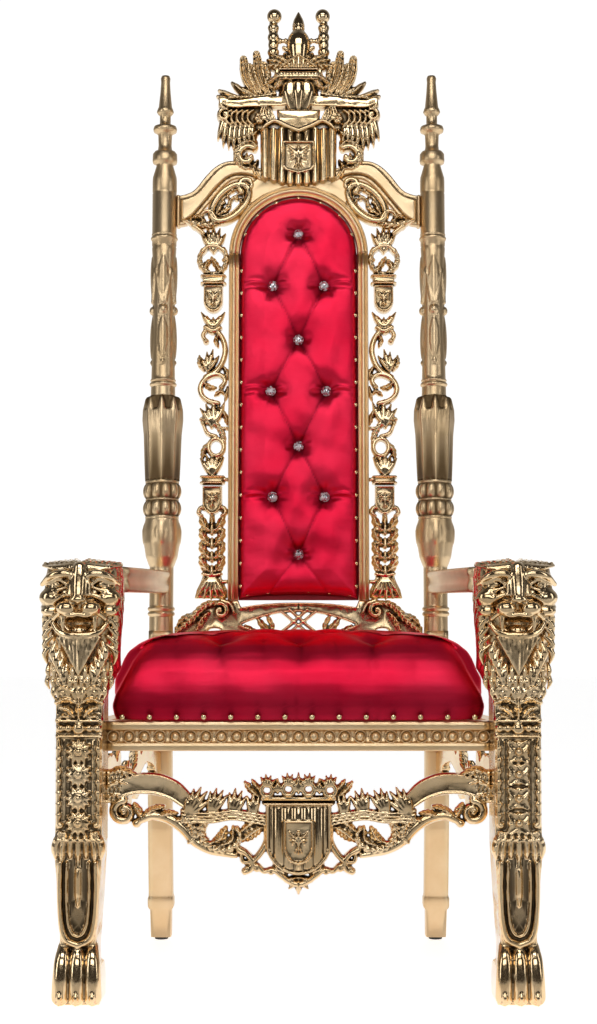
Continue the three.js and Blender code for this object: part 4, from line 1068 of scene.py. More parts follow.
column.leaf([(146, 1072), (154, 1078), (166, 1070)], 6, 12, 3)
column.leaf([(146, 1060), (142, 1074), (141, 1088)], 5, 11, 3)
fan(column, (172, 1006), [(147, 1056), (158, 1050), (170, 1062), (184, 1052), (195, 1044)], 7, 13, bend_by=-3)
column.leaf([(150, 1040), (144, 1026), (141, 1012)], 6, 12, 3)
for i in range(5):
    a = 2 * math.pi * i / 5 + 0.3
    column.boss(186 + 6.5 * math.cos(a), 1020 + 6.5 * math.sin(a), 5, 11)
column.boss(186, 1020, 4, 15)
column.stroke([(170, 1018), (158, 1006), (150, 990), (148, 968)], [7, 7, 7, 5], 12, lobes=6)
column.stroke([(188, 1010), (180, 994), (164, 988)], [4, 5, 5], 12)
ring(column, 163, 966, 15, 17, 5, 12)
column.leaf([(176, 976), (186, 962), (190, 944)], 7, 12, 4)
column.leaf([(150, 958), (158, 944), (172, 938)], 6, 12, 3)
fan(column, (MID, 908), [(148, 946), (160, 952), (171, 956), (182, 950), (194, 944)], 7, 13)
cap(891, 911, 20)
small_shield(column, MID, 889, 20, 58, 15)
column.stroke([(158, 843), (148, 846), (144, 836), (151, 830)], [5, 5, 5, 4], 12)
column.stroke([(182, 843), (192, 846), (197, 836), (190, 830)], [5, 5, 5, 4], 12)
for tier in (716, 743, 770, 797):
    column.leaf([(MID + 2, tier), (158, tier + 10), (147, tier + 32)], 9.5, 13, 3, lift=1 if tier % 2 else 0)
    column.leaf([(MID - 2, tier), (182, tier + 10), (193, tier + 32)], 9.5, 13, 3, lift=1 if tier % 2 else 0)
    column.stroke([(MID, tier - 2), (MID, tier + 14)], [5, 4], 15, raw=True)
column.leaf([(MID, 806), (MID, 822), (MID, 836)], 6, 14, 0)
column.slab([(153, 714), (187, 714), (192, 700), (200, 684), (204, 667), (139.6, 667), (139.6, 684), (148, 700)], 5,
            2)
fan(column, (MID, 716), [(143, 670), (157, 668), (171, 666), (185, 668), (199, 670)], 7.5, 13)
column.stroke([(152, 715), (MID, 712), (188, 715)], [4, 5, 4], 14)
for z in (1345, 1110, 1004, 902, 840, 700):
    column.stroke([(139.6, z), (150, z)], [4, 4], 7, raw=True)
column.lay(-2, BOARD)
points, quads, hollow = column.mesh()
for side, name in ((1, "right"), (-1, "left")):
    faces = quads if side > 0 else quads[:, ::-1]
    made = add_mesh(f"back_border_{name}_carved", raked(points * (side, 1, 1)), faces, BRIGHT_GOLD, hollow)
    settle(thin(made, 0.46), "bright_gold", f"back_border_{name}")

# ---------- lower back rail ----------
# The rail that carries the frame: a shallow web with an eye-shaped opening crossed by interlaced straps, a small volute
# and a drooping leaf at each end. The web is edged with a fillet, all in bright leaf.
foot = Carving((0, -26, 556), (243.2, 16, 668), 1.7, half=True)
web = [(0, 558), (243, 558), (243, 612), (222, 616), (205, 626), (196, 646), (184, 660), (160, 663.7), (118, 663.7),
       (113, 651),
       (80, 655), (40, 658), (0, 659)]
foot.slab(web, 3, 2)
eye = bend([(0, 643), (40, 640), (80, 630), (114, 616), (80, 602), (40, 594), (0, 592)], 5)
foot.hole([*eye, *[(-a, b) for a, b in eye[::-1]]])
foot.stroke(eye, 2.6, 9, raw=True)
foot.stroke([(0, 657), (40, 656), (80, 653), (112, 648)], 2.6, 9)
for points in ([(-52, 588), (-20, 612), (0, 630), (18, 646)], [(52, 588), (20, 612), (0, 630), (-18, 646)],
               [(30, 588), (10, 606), (-10, 622), (-34, 642)], [(-30, 588), (-10, 606), (10, 622), (34, 642)]):
    foot.stroke(points, 3.6, 11)
foot.leaf([(44, 592), (66, 610), (80, 628)], 8, 12, 4)
foot.leaf([(60, 592), (84, 600), (104, 614)], 7, 11, 4)
foot.leaf([(54, 596), (52, 614), (62, 634)], 6, 12, 3)
ring(foot, 164, 604, 13, 5, 2.5, 9)
foot.eyelet(164, 604, 12, 4.5, 14)
foot.stroke(spiral(152, 643, 15, 4, 0.2, 1.1), [7, 7, 6, 4], [20, 19, 17])
foot.boss(152, 643, 5.5, 21)
foot.stroke([(126, 640), (134, 656), (150, 663)], [4, 5, 6], 16)
foot.stroke([(160, 658), (178, 656), (194, 644), (208, 628), (226, 612), (238, 600)], [6, 8, 9, 9, 8, 3], 18,
            lobes=9)
foot.leaf([(176, 640), (190, 626), (198, 608)], 9, 15, 4)
foot.leaf([(204, 636), (222, 628), (236, 616)], 8, 15, 4)
foot.lay(-3, 14)
points, quads, hollow = foot.mesh()
settle(thin(add_mesh("lower_back_rail_carved", raked(points), quads, BRIGHT_GOLD, hollow), 0.46), "bright_gold",
       "lower_back_rail")

# ---------- crest ----------
# The crest is one large carving let into the arch: a reeded shield with a small eagle, a fluted helmet over a smooth
# collar, ribbons, feathers and leaf scrolls, and a crown with a dome between two ball-topped turned columns.
crest = Carving((0, -44, 1490), (172, 34, 1868), 1.7, half=True)
# hanging plumes and curls behind the ribbon
for root, tip in (((150, 1640), (163, 1592)), ((144, 1636), (152, 1578)), ((134, 1632), (141, 1573)),
                  ((126, 1630), (130, 1566)),
                  ((116, 1628), (118, 1571)), ((106, 1628), (107, 1576)), ((97, 1626), (98, 1584)),
                  ((90, 1622), (90, 1592))):
    middle = (root[0] + 0.15 * (tip[0] - root[0]) + 3, (root[1] + tip[1]) / 2)
    crest.stroke([root, middle, tip], [5, 8, 6.5, 1.5], [10, 13, 14, 8], lobes=0)
crest.slab([(60, 1655), (150, 1655), (156, 1628), (120, 1606), (84, 1604), (60, 1616)], 3, 2)
for i, x in enumerate((96, 107, 118, 129, 140)):
    crest.stroke([(x - 6, 1650), (x + 5, 1642), (x + 5, 1628), (x - 6, 1618)], [2.5, 4.5, 4.5, 2], 15)
crest.stroke(spiral(149, 1640, 13, 4, 0.3, -1.1), [6, 6, 5, 4], 16)
crest.boss(149, 1640, 5, 17)
# flower bud and the stacked flutes by the collar
for i in range(6):
    a = 2 * math.pi * i / 6
    crest.boss(78 + 7 * math.cos(a), 1633 + 8 * math.sin(a), 5.5, 12, 4)
crest.boss(78, 1633, 5.5, 13, 6)
for i in range(6):
    crest.stroke([(70 - 3 * i, 1660 - 2 * i), (76 - 5.5 * i, 1644 - 2.5 * i), (62 - 4.5 * i, 1624 - 0.5 * i)],
                 [2.5, 4.2, 2.2], 15 + 0.8 * i)
# feathers, pointed side leaves and the dark leaf band under them
for points, half in (([(58, 1680), (76, 1716), (85, 1768)], 9.5), ([(86, 1684), (104, 1716), (111, 1757)], 10),
                     ([(50, 1690), (64, 1722), (70, 1748)], 7), ([(74, 1684), (92, 1714), (98, 1744)], 6.5)):
    crest.stroke(points, [half * 0.5, half * 0.85, half * 1.1, half * 1.15, half * 0.85], 13, "hollow")
    crest.stroke(points, [1.2, 1.8, 1.2], 14)
for points in ([(92, 1682), (112, 1690), (134, 1710)], [(118, 1678), (138, 1682), (160, 1694)],
               [(84, 1680), (100, 1688), (118, 1700)],
               [(136, 1674), (150, 1676), (163, 1682)]):
    crest.leaf(points, 8, 14, 0)
crest.stroke([(48, 1686), (80, 1680), (120, 1678), (150, 1676)], [5, 6, 6, 3], 11, lobes=12)
# satin ribbon with a rolled end
crest.stroke([(30, 1668), (66, 1667), (100, 1664), (134, 1662), (152, 1668)], [12, 12.5, 11.5, 10, 9], 17, "flat")
crest.stroke([(148, 1652), (156, 1660), (158, 1674)], [5, 6, 3], 18)
# lower side scrolls and the dark curls that join them to the arch
crest.stroke(spiral(103, 1556, 22, 8, 0.36, -0.85), [7, 8, 8, 6], 14)
crest.stroke([(84, 1576), (96, 1586), (112, 1582), (124, 1568), (124, 1548), (112, 1532), (96, 1530)],
             [4, 5, 6, 7, 7, 6, 5], 15, lobes=10)
crest.leaf([(96, 1536), (106, 1548), (104, 1562)], 7, 15, 4)
crest.boss(101, 1552, 5, 16)
crest.leaf([(82, 1548), (90, 1528), (78, 1508)], 8, 16, 3)
crest.leaf([(86, 1530), (76, 1512), (66, 1502)], 6, 15, 3)
crest.leaf([(80, 1612), (90, 1596), (84, 1576)], 7, 14, 3)
crest.lay(-4, 9)
# reeded shield, its scalloped foot and the small shield on it
SHIELD_TOP = 1612
pitch = 2 * 76 / 9
foot_line = [(x, 1513 - 17 * (1 - (x / 76) ** 2) - 5 * abs(math.cos(math.pi * x / pitch))) for x in np.linspace(76, -76, 73)]
crest.slab([(-77, SHIELD_TOP), (77, SHIELD_TOP), *foot_line],
           lambda x, z, d: 2.5 + 9 * np.abs(np.cos(math.pi * x / pitch)) ** 0.75 + 3 * (1 - (x / 80) ** 2), 2.5)
escutcheon = [(-33, 1583), (33, 1583), (33, 1528), (26, 1520), (0, 1513), (-26, 1520), (-33, 1528)]
crest.slab(escutcheon, 19, 2)
crest.sink([(x * 0.86, 1548 + (z - 1548) * 0.86) for x, z in escutcheon], 13, 1.2)
eagle(crest, 0, 1552, 46, 13, 5)
crest.lay(-14, 12)
# smooth collar with its waved rim, and the fluted helmet
crest.slab([(-44, 1648), (44, 1648), (42, 1622), (24, 1612), (0, 1604), (-24, 1612), (-42, 1622)], 10, 4)
crest.stroke([(72, 1606), (62, 1616), (46, 1622), (24, 1612), (0, 1602)], [3, 5, 5.5, 5.5, 6], 15)
crest.lay(-22, -4)


def helmet(x, y, z):
    t = np.clip((z - 1634) / 50, 0, 1)
    half = 4 + 38 * np.sqrt(t) - 3 * np.clip((z - 1684) / 20, 0, 1)
    angle = np.arctan2(x, -(y + 6) + 1e-6)
    flute = 5.0 * (1 - np.abs(np.cos(3.5 * angle)))
    shell = (np.hypot(x / half, (y + 6) / (0.72 * half)) - 1) * half * 0.8 + flute
    return np.maximum(shell, np.maximum(1634 - z, z - 1704))


crest.form((0, -44, 1628), (52, 30, 1708), helmet, 1)
# lotus, beaded band, coronet and palmette of the crown
for root, middle, tip, half in (((0, 1716), (0, 1696), (0, 1668), 12), ((6, 1714), (18, 1702), (27, 1680), 10),
                                ((14, 1714), (34, 1710), (48, 1694), 9), ((20, 1714), (42, 1716), (60, 1706), 7)):
    crest.leaf([root, middle, tip], half, 12, 5)
crest.stroke([(0, 1719), (37, 1719)], [8, 8], 13, "flat")
for x in np.arange(0, 38, 6.2):
    crest.boss(x, 1719, 2.8, 16)
crest.stroke([(0, 1729), (38, 1729)], [2.6, 2.6], 17)
crest.stroke([(0, 1709.5), (38, 1709.5)], [2.6, 2.6], 17)
crest.slab([(-38, 1731), (38, 1731), (24, 1742), (0, 1760), (-24, 1742)],
           lambda x, z, d: 9 + 4 * np.abs(np.cos(math.pi * x / 9.5)), 2)
crest.stroke([(38, 1731), (24, 1743), (0, 1760)], [2.4, 2.4, 2.4], 16)
crest.lay(-18, 2)
for tip in ((0, 1781), (14, 1774), (28, 1770), (42, 1764), (54, 1768), (62, 1757), (68, 1744)):
    base = (tip[0] * 0.35, 1738 + 0.2 * (tip[1] - 1740))
    crest.leaf([base, ((base[0] + tip[0]) / 2, (base[1] + tip[1]) / 2 + 3), tip], 9, 13, 4)
crest.slab([(-52, 1716), (52, 1716), (46, 1742), (20, 1764), (-20, 1764), (-46, 1742)], 5, 2)
crest.stroke([(66, 1742), (60, 1728), (66, 1712), (58, 1700), (46, 1700)], [5, 6, 6, 6, 5], 12, lobes=8)
crest.leaf([(40, 1706), (54, 1712), (60, 1726)], 6, 12, 3)
crest.hole([(49 + 7 * math.cos(a) - 3 * math.sin(a),
             1721 + 6 * math.sin(a) - 3 * math.cos(a)) for a in np.linspace(0, 2 * math.pi, 15)[:-1]])
crest.lay(-5, 9)


def turned_form(profile, centre=0.0, flutes=0, depth=0.0):
    """The field of turned work about an upright axis, from rows of height and radius."""
    rows = np.array(profile, float)

    def shape(x, y, z):
        angle = np.arctan2(y, x - centre)
        radius = np.interp(z, rows[:, 0], rows[:, 1]) - depth * (1 - np.abs(np.cos(flutes * angle)))
        return np.maximum(np.hypot(x - centre, y) - radius, np.maximum(rows[0, 0] - z, z - rows[-1, 0]))

    return shape


column_rows = [(1742, 9), (1768, 9.5), (1771, 11.5), (1775, 12.3), (1779, 11.5), (1782, 9), (1790, 10.8),
               (1799, 9.5), (1803, 11.5),
               (1807, 12), (1811, 11), (1814, 9), (1821, 10), (1824, 11.5), (1827, 11.8), (1830, 11), (1833, 8.5),
               (1838, 8.5)]
crest.form((38, -14, 1740), (66, 14, 1840), turned_form(column_rows, 51), 0.5)
crest.ball((49, 0, 1850.5), 15, 0.5)
for x, r in ((26, 6.5), (32, 4.6), (37, 6.5), (42, 5)):
    crest.ball((x, 0, 1799), (3.6, r, r), 1.5)
dome_rows = [(1752, 18), (1770, 22), (1784, 24.5), (1797, 24), (1808, 20.5), (1816, 15), (1820, 11.5), (1822, 12.6),
             (1826, 12.8),
             (1828, 10.6), (1836, 11.4), (1844, 9.5), (1852, 5.5), (1861, 0.8)]
crest.form((0, -28, 1750), (30, 28, 1864), turned_form(dome_rows), 0.5)
for a in np.linspace(0, math.pi, 5):
    crest.rod([(11 * math.sin(a), -11 * math.cos(a), 1830), (10 * math.sin(a), -10 * math.cos(a), 1842)], [2, 0.8],
              0.5)
crest.stroke([(0, 1768), (18, 1776), (30, 1784)], [6, 5, 4], 6)
crest.lay(-4, 6)
points, quads, hollow = crest.mesh()
settle(thin(add_mesh("crest_carving_leafed", raked(points), quads, BRIGHT_GOLD, hollow), 0.52), "bright_gold",
       "crest_carving")

# ---------- upholstery of the back ----------
# Crimson satin over a stuffed pad on a thin board. Ten crystal buttons draw it down in diamonds, with sharp creases
# between them and small pleats around each, and its edge is turned under a row of brass nails.
BUTTONS = [(0, 1394), (-51, 1289), (51, 1289), (0, 1180), (-55, 1077), (55, 1077), (0, 967), (-51, 866), (51, 866),
           (0, 753)]
PANEL = FRAME_IN - 1.2
PAD_RISE = 29.5
PAD_LEAST = 6.0
PAD_BACK = 1.4


def satin(name, light, deep, shine):
    """Woven satin: fine threads both ways, slubs, slow drift of colour, and a soft bloom on the folds. Painted shade
    darkens it where the mesh's hollow attribute is high.
    """
    made = Finish(name, {"Metallic": 0.90, "Sheen Weight": 0.12, "Sheen Roughness": 0.3,
                         "Sheen Tint": (1.0, 0.2, 0.25, 1),
                         "Specular IOR Level": 0.5, "Specular Tint": (1.0, 0.35, 0.38, 1)})
    drift = made.noise(9.0, 4.0)
    slub = made.noise(70.0, 3.0, stretch=(1, 1, 9))
    weft = made.tree.node("TexWave", {"bands_direction": "Z"},
                          {"Vector": made.place, "Scale": 900.0, "Distortion": 0.6, "Detail": 1.0}, 1)
    warp = made.tree.node("TexWave", {"bands_direction": "X"},
                          {"Vector": made.place, "Scale": 700.0, "Distortion": 0.4, "Detail": 1.0}, 1)
    tone = (drift.between(0.3, 0.7) * 0.7 + slub * 0.3).blend(deep, light)
    # The satin goes almost black where the hollow attribute is high: painted shade in creases, pleats and edges.
    hollow = made.attribute("hollow").between(0.52, 0.95)
    made.feed("Base Color", (hollow * 0.75).blend(tone, (0.09, 0.0, 0.006, 1)))
    made.feed("Roughness", shine + slub * 0.08 + drift * 0.06)
    made.bump(weft * 0.4 + warp * 0.3 + slub * 1.2, 0.18, 0.0006)
    return made.material


SATIN = satin("crimson_satin", (0.93, 0.030, 0.085, 1), (0.80, 0.008, 0.045, 1), 0.27)


def to_segment(x, z, a, b):
    return nearest(np.array([a, b], float), x, z)[0]


def back_relief(x, z):
    """How far the cloth is drawn in by the buttons, how far by the creases between them, and the folds' own relief."""
    pull = np.zeros_like(x)
    pleats = np.zeros_like(x)
    for i, (bx, bz) in enumerate(BUTTONS):
        d = np.hypot(x - bx, z - bz)
        angle = np.arctan2(z - bz, x - bx)
        pull += 8.5 * np.exp(-((d / 15) ** 2)) + 10.5 * np.exp(-((d / 30) ** 1.8))
        pleats += 1.5 * np.sin(5 * angle + 1.3 * i) * np.exp(-(((d - 20) / 10) ** 2))
        pleats += 0.5 * np.sin(11 * angle + i) * np.exp(-(((d - 16) / 8) ** 2))
    runs = [(a, b, 2.6) for i, a in enumerate(BUTTONS) for b in BUTTONS[i + 1:] if 90 < math.dist(a, b) < 130 and a[1] != b[1]]
    runs += [((0, 753), (66, 664), 1.6), ((0, 753), (-66, 664), 1.6)]
    crease = np.zeros_like(x)
    for i, (a, b, weight) in enumerate(runs):
        d, t, _ = nearest(np.array([a, b], float), x, z)
        crease = np.maximum(crease, weight * (np.exp(-d / 1.5) + 0.55 * np.exp(-((d / 9) ** 2)) * np.abs(2 * t - 1)))
    for i, (bx, bz) in enumerate(BUTTONS):
        for way in ((-1, 1) if bx == 0 else (math.copysign(1, bx), -0.45 * math.copysign(1, bx))):
            long = 24 if bx == 0 else (PANEL - abs(bx)) if abs(way) == 1 else 34
            t = (x - bx) / math.copysign(long, way)
            d = z - bz - 5 * np.sin(math.pi * np.clip(t, 0, 1)) - 1.0
            fade = np.clip(t / 0.12, 0, 1) * np.clip((1.02 - t) / 0.25, 0, 1) * (t > 0)
            pleats += fade * (2.6 * np.exp(-((d / 2.2) ** 2)) - 3.2 * np.exp(-(((d + 7) / 6) ** 2)) - 1.6 * np.exp(-(((d - 7) / 5) ** 2)))
    return pull, crease, pleats


rows, columns = 330, 100
z_rows = np.concatenate([np.linspace(FRAME_FOOT + 2, ARCH_Z, 265),
                         ARCH_Z + PANEL * np.sin(np.linspace(0.02, math.pi / 2 - 0.02, 65))])
half_width = np.where(z_rows <= ARCH_Z, PANEL, np.sqrt(np.maximum(PANEL**2 - (z_rows - ARCH_Z) ** 2, 0)))
low_edge = 8 * (1 - (np.linspace(-1, 1, columns)) ** 2)
share = np.sin(np.linspace(-1, 1, columns) * 1.25) / math.sin(1.25)
x_pad = half_width[:, None] * share[None, :]
z_pad = z_rows[:, None] + low_edge[None, :] * np.clip((720 - z_rows) / 56, 0, 1)[:, None]
round_edge = np.where(z_pad > ARCH_Z, PANEL - np.hypot(x_pad, z_pad - ARCH_Z), PANEL - np.abs(x_pad))
inset = np.minimum(round_edge, z_pad - (FRAME_FOOT + 2 + low_edge[None, :]))
pull, crease, pleats = back_relief(x_pad, z_pad)
swell = 0.80 * np.clip(1 - np.exp(-inset / 4.5), 0, 1) + 0.20 * np.clip(inset / 50, 0, 1) ** 0.8
rng = np.random.default_rng(7)
ripple = sum(a * np.sin(k * x_pad + m * z_pad + p) for a, k, m, p in
             zip((0.55, 0.45, 0.4, 0.3), (0.05, -0.08, 0.12, 0.03), (0.06, 0.035, -0.05, 0.13),
                 rng.uniform(0, 6, 4)))
y_pad = 0.5 - swell * np.maximum(PAD_RISE - pull - crease + pleats, PAD_LEAST) + ripple * swell
y_pad += 0.9 * np.exp(-inset / 8) * np.sin(z_pad * 2 * math.pi / 15) * (inset > 1)
front = np.stack([x_pad, y_pad, z_pad], -1)
behind = front.copy()
behind[..., 1] = PAD_BACK
edge = [(i, 0) for i in range(rows)] + [(rows - 1, j) for j in range(1, columns)]
edge += [(i, columns - 1) for i in range(rows - 2, -1, -1)] + [(0, j) for j in range(columns - 2, 0, -1)]
front_points, pad_faces = skin(front, closed=False, caps=False)
back_loop = np.array([behind[i, j] for i, j in edge])
start = len(front_points)
size = len(edge)
flat = [i * columns + j for i, j in edge]
pad_faces += [[flat[i], flat[(i + 1) % size], start + (i + 1) % size, start + i] for i in range(size)]
pad_faces.append(list(range(start, start + size))[::-1])
# Painted shade: the satin darkens along the creases, where the buttons draw it in, and at the turned edge.
shade = 0.5 + 0.10 * np.clip(crease, 0, 2.6) + 0.019 * pull + 0.35 * np.exp(-inset / 2.5)
shade = np.concatenate([shade.ravel(), np.full(size, 0.5)])
made = add_mesh("back_cushion_tufted", raked(np.vstack([front_points, back_loop])), pad_faces, SATIN, shade)
settle(made, "red_satin", "back_cushion")

backing = Finish("crimson_lining", {"Sheen Weight": 0.2})
backing.feed("Base Color", backing.noise(40.0, 4.0).between(0.3,
                                                            0.7).blend((0.30, 0.004, 0.018, 1), (0.36, 0.006, 0.024, 1)))
backing.feed("Roughness", backing.noise(300.0) * 0.2 + 0.55)
backing.bump(backing.tree.node("TexWave", {}, {"Vector": backing.place, "Scale": 350.0, "Distortion": 1.5}, 1), 0.2,
             0.0006)
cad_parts["back_panel"].data.materials.clear()
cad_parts["back_panel"].data.materials.append(backing.material)

# ---------- crystal buttons and nails ----------
# Clear cut crystals in thin silver cups hold the tufts. Small domed brass nails edge the back and the seat.
crystal = Finish("cut_crystal", {"Metallic": 0.0, "IOR": 1.9, "Transmission Weight": 0.35, "Coat Roughness": 0.02})
sparkle = crystal.tree.node("TexVoronoi", {}, {"Vector": crystal.place, "Scale": 260.0}, 1)
glint = crystal.tree.node("SeparateXYZ", {}, {"Vector": sparkle}, 0)
crystal.feed("Base Color", glint.between(0.2, 0.8).blend((0.95, 0.92, 0.95, 1), (0.55, 0.50, 0.55, 1)))
crystal.feed("Metallic", glint.between(0.35, 0.6) * 0.85)
crystal.feed("Roughness", glint * 0.05 + 0.03)
GEM_DEPTH = -11.5
NAIL_DEPTH = -12.5
NAIL_PITCH = 45
NAIL_INSET = 4.5
gem_rows = [(0, 10.2), (2.2, 10.4), (3.2, 9.6), (4.0, 8.9), (6.6, 6.4), (8.4, 3.4), (8.9, 1.2)]
parts = []
for x, z in BUTTONS:
    gem, faces = lathe(gem_rows, 12, (0, 0, 0), "front")
    twist = [(0.26 if i in (4, 6) else 0.0) for i in range(len(gem_rows))]
    gem = gem.reshape(len(gem_rows), 12, 3)
    for i, a in enumerate(twist):
        gx, gz = gem[i, :, 0].copy(), gem[i, :, 2].copy()
        gem[i, :, 0], gem[i, :, 2] = gx * math.cos(a) - gz * math.sin(a), gx * math.sin(a) + gz * math.cos(a)
    parts.append((gem.reshape(-1, 3) + (x, GEM_DEPTH, z), faces))
points, faces = joined(parts)
made = add_mesh("crystal_buttons", raked(points), faces, crystal.material, smooth=False)
settle(made, "crystal", *[f"back_button_{i + 1}" for i in range(10)])

BRASS = gilding("nail_brass", (0.92, 0.78, 0.48, 1), (0.84, 0.66, 0.36, 1), (0.2, 0.12, 0.05, 1), 0.16, 0.05, 0.2)
nail_rows = [(-1.5, 4.6), (0, 4.7)] + [(3.2 * math.sin(t), 4.7 * math.cos(t)) for t in np.linspace(0.25, 1.5, 5)]
parts = []
edge_nails = [(side * (PANEL - NAIL_INSET), z) for side in (-1, 1) for z in np.arange(690, 1356, NAIL_PITCH)]
edge_nails += [((PANEL - NAIL_INSET) * math.cos(a),
                ARCH_Z + (PANEL - NAIL_INSET) * math.sin(a)) for a in np.linspace(0.36, math.pi - 0.36, 7)]
edge_nails += [(x, FRAME_FOOT + 10 + 8 * (1 - (x / PANEL) ** 2)) for x in np.linspace(-100, 100, 6)]
for x, z in edge_nails:
    parts.append(lathe(nail_rows, 12, (x, NAIL_DEPTH, z), "front"))
points, faces = joined(parts)
settle(add_mesh("back_nails", raked(points), faces, BRASS), "satin_gold")

# ---------- seat cushion ----------
# A deep sprung seat in the same satin, drawn over the rails and nailed along them. Its front is a full roll, pleated
# below a row of tufts, and its sides slope in behind the lions.
CUSHION = np.array([[462, 311, 8], [470, 314, 3], [486, 317, -4], [505, 312, -7], [525, 300, -6], [545, 288, -1],
                    [562, 281, 8],
                    [577, 273, 20], [589, 263, 35], [598, 248, 54], [603.5, 228, 78]], float)
CUSHION_FRONT = FRONT + 84
CUSHION_BACK = BACK_Y - 26
LEG_REAR = LEG_FACE + 100
AROUND = 300
RISE_ROWS = 34
CUSHION_FLARE = 26
CUSHION_WIDEST = 318
CUSHION_TOP = CUSHION[-1, 0]
CROWN = 9


def seat_ring(z, half, inset):
    """The cushion's outline at one height, evenly spaced and eased at its corners."""
    front, rear = CUSHION_FRONT + inset, CUSHION_BACK - inset * 0.6
    wide = min(half + CUSHION_FLARE, CUSHION_WIDEST - inset)
    right = [(0, front - 4), (half * 0.5, front - 3), (half - 26, front), (half - 4, front + 12),
             (half, front + 34), (half, LEG_REAR + 18),
             (wide - 8, LEG_REAR + 40), (wide - 6, LEG_REAR + 60),
             ((wide + 238) / 2 - 6, (LEG_REAR + rear) / 2 + 20),
             (240 - inset * 0.4, rear - 26), (226 - inset * 0.4, rear - 5), (190, rear), (100, rear)]
    points = np.array(right + [(0, rear)] + [(-x, y) for x, y in right[:0:-1]])
    loop = np.vstack([points, points[:1]])
    for _ in range(3):
        ahead = np.roll(loop[:-1], -1, 0)
        loop = np.stack([0.75 * loop[:-1] + 0.25 * ahead, 0.25 * loop[:-1] + 0.75 * ahead], 1).reshape(-1, 2)
        loop = np.vstack([loop, loop[:1]])
    step = np.linalg.norm(np.diff(loop, axis=0), axis=1)
    run = np.concatenate([[0], np.cumsum(step)])
    at = np.linspace(0, run[-1], AROUND, endpoint=False)
    out = np.stack([np.interp(at, run, loop[:, 0]), np.interp(at, run, loop[:, 1]), np.full(AROUND, z)], -1)
    shift = np.argmin(np.abs(out[:, 0]) + (out[:, 1] > 0) * 1e6)
    return np.roll(out, -shift, 0)


span = np.linspace(0, len(CUSHION) - 1, RISE_ROWS)
ease = [np.interp(span, np.arange(len(CUSHION)), CUSHION[:, i]) for i in range(3)]
seat = [seat_ring(*row) for row in zip(*ease)]
top = seat[-1]
centre = np.array([0, (CUSHION_FRONT + CUSHION_BACK) / 2, 0])
for t in np.linspace(0, 1, RISE_ROWS)[1:]:
    inner = centre + (top - centre) * (1 - t * 0.985)
    inner[:, 2] = CUSHION_TOP + CROWN * (1 - (1 - t) ** 1.7)
    seat.append(inner)
seat = np.stack(seat)
TUFTS = [(x, y) for j, y in enumerate((-158, -72, 14,
                                       100)) for x in ((-129, 0, 129) if j % 2 == 0 else (-193, -64, 64, 193))
         if abs(x) < 205 - 0.12 * max(y, 0)]
x, y, z = seat[..., 0], seat[..., 1], seat[..., 2]
upper = np.clip((z - 575) / 22, 0, 1)
dip = np.zeros_like(x)
for i, (tx, ty) in enumerate(TUFTS):
    d = np.hypot(x - tx, y - ty)
    dip = np.maximum(dip, 19 * np.exp(-((d / 27) ** 1.6)) * upper)
    for ux, uy in TUFTS[i + 1:]:
        if 60 < math.dist((tx, ty), (ux, uy)) < 130 and uy != ty:
            d = to_segment(x, y, (tx, ty), (ux, uy))
            dip = np.maximum(dip, (4.5 * np.exp(-d / 7) + 3 * np.exp(-((d / 22) ** 2))) * upper)
front_face = np.clip((-150 - y) / 40, 0, 1)
pleat = np.zeros_like(x)
for tx, weight in ((-129, 1.0), (0, 1.0), (129, 1.0), (-64, 0.45), (64, 0.4), (-205, 0.35), (200, 0.35)):
    d = np.abs(x - tx - 4 * np.sin(z / 28 + tx))
    height = np.clip((z - 545) / 50, 0, 1) ** 1.3
    pleat = np.maximum(pleat, weight * ((7 * np.exp(-d / 4) + 7 * np.exp(-((d / 30) ** 2))) * height + 1.8 * np.exp(-d / 1.8)) * front_face)
nails_at = np.linspace(-296, 296, 14)
gather = np.zeros_like(x)
for nx in nails_at:
    d = np.abs(x - nx)
    gather = np.maximum(gather, 3.4 * np.exp(-d / 5) * np.clip((500 - z) / 34, 0, 1) * front_face)
wave = 1.4 * np.sin(x / 33 + np.sin(z / 37) * 1.3) * np.sin(z / 21 + x / 130) + 0.8 * np.sin(x / 14 + z / 25)
ahead = np.roll(seat, -1, 1) - np.roll(seat, 1, 1)
normal = np.stack([ahead[..., 1], -ahead[..., 0], np.zeros_like(x)], -1)
normal /= np.maximum(np.linalg.norm(normal, axis=-1, keepdims=True), 1e-6)
lower = 1 - upper
seat = seat - normal * ((pleat + gather - wave * np.clip((z - 470) / 20, 0,
                                                         1)) * np.maximum(lower, 0.15))[..., None]
seat[..., 2] -= dip + pleat * 0.6 * upper
points, faces = skin(seat)
# Painted shade: the satin darkens in the tuft dips, pleats and gathers, and towards the bottom of the front roll.
shade = 0.5 + 0.02 * np.clip(dip, 0, 12) + 0.035 * np.clip(pleat, 0,
                                                           12) + 0.06 * gather + 0.3 * np.clip((535 - z) / 45, 0, 1)
made = add_mesh("seat_cushion_tufted", points, faces, SATIN, shade.ravel())
settle(made, "red_satin", "seat_cushion")

parts = [lathe(nail_rows, 12, (x, CUSHION_FRONT - 1.5, 468), "front") for x in nails_at]
points, faces = joined(parts)
settle(add_mesh("seat_nails", points, faces, BRASS), "satin_gold")

# ---------- plain rails and glides ----------
# The side and back seat rails keep the solids' shape in satin leaf, and four black plastic glides carry the feet.
for name in ("seat_rail_back", "seat_rail_left", "seat_rail_right"):
    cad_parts[name].data.materials.clear()
    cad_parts[name].data.materials.append(SATIN_GOLD)
plastic = Finish("black_glide", {"Specular IOR Level": 0.4})
plastic.feed("Base Color", plastic.noise(120.0).between(0.3,
                                                        0.7).blend((0.012, 0.012, 0.013, 1),
                                                                   (0.022, 0.021, 0.021, 1)))
plastic.feed("Roughness", plastic.noise(500.0) * 0.2 + 0.4)
for name in ("glide_front_left", "glide_front_right", "glide_rear_left", "glide_rear_right"):
    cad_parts[name].data.materials.clear()
    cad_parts[name].data.materials.append(plastic.material)

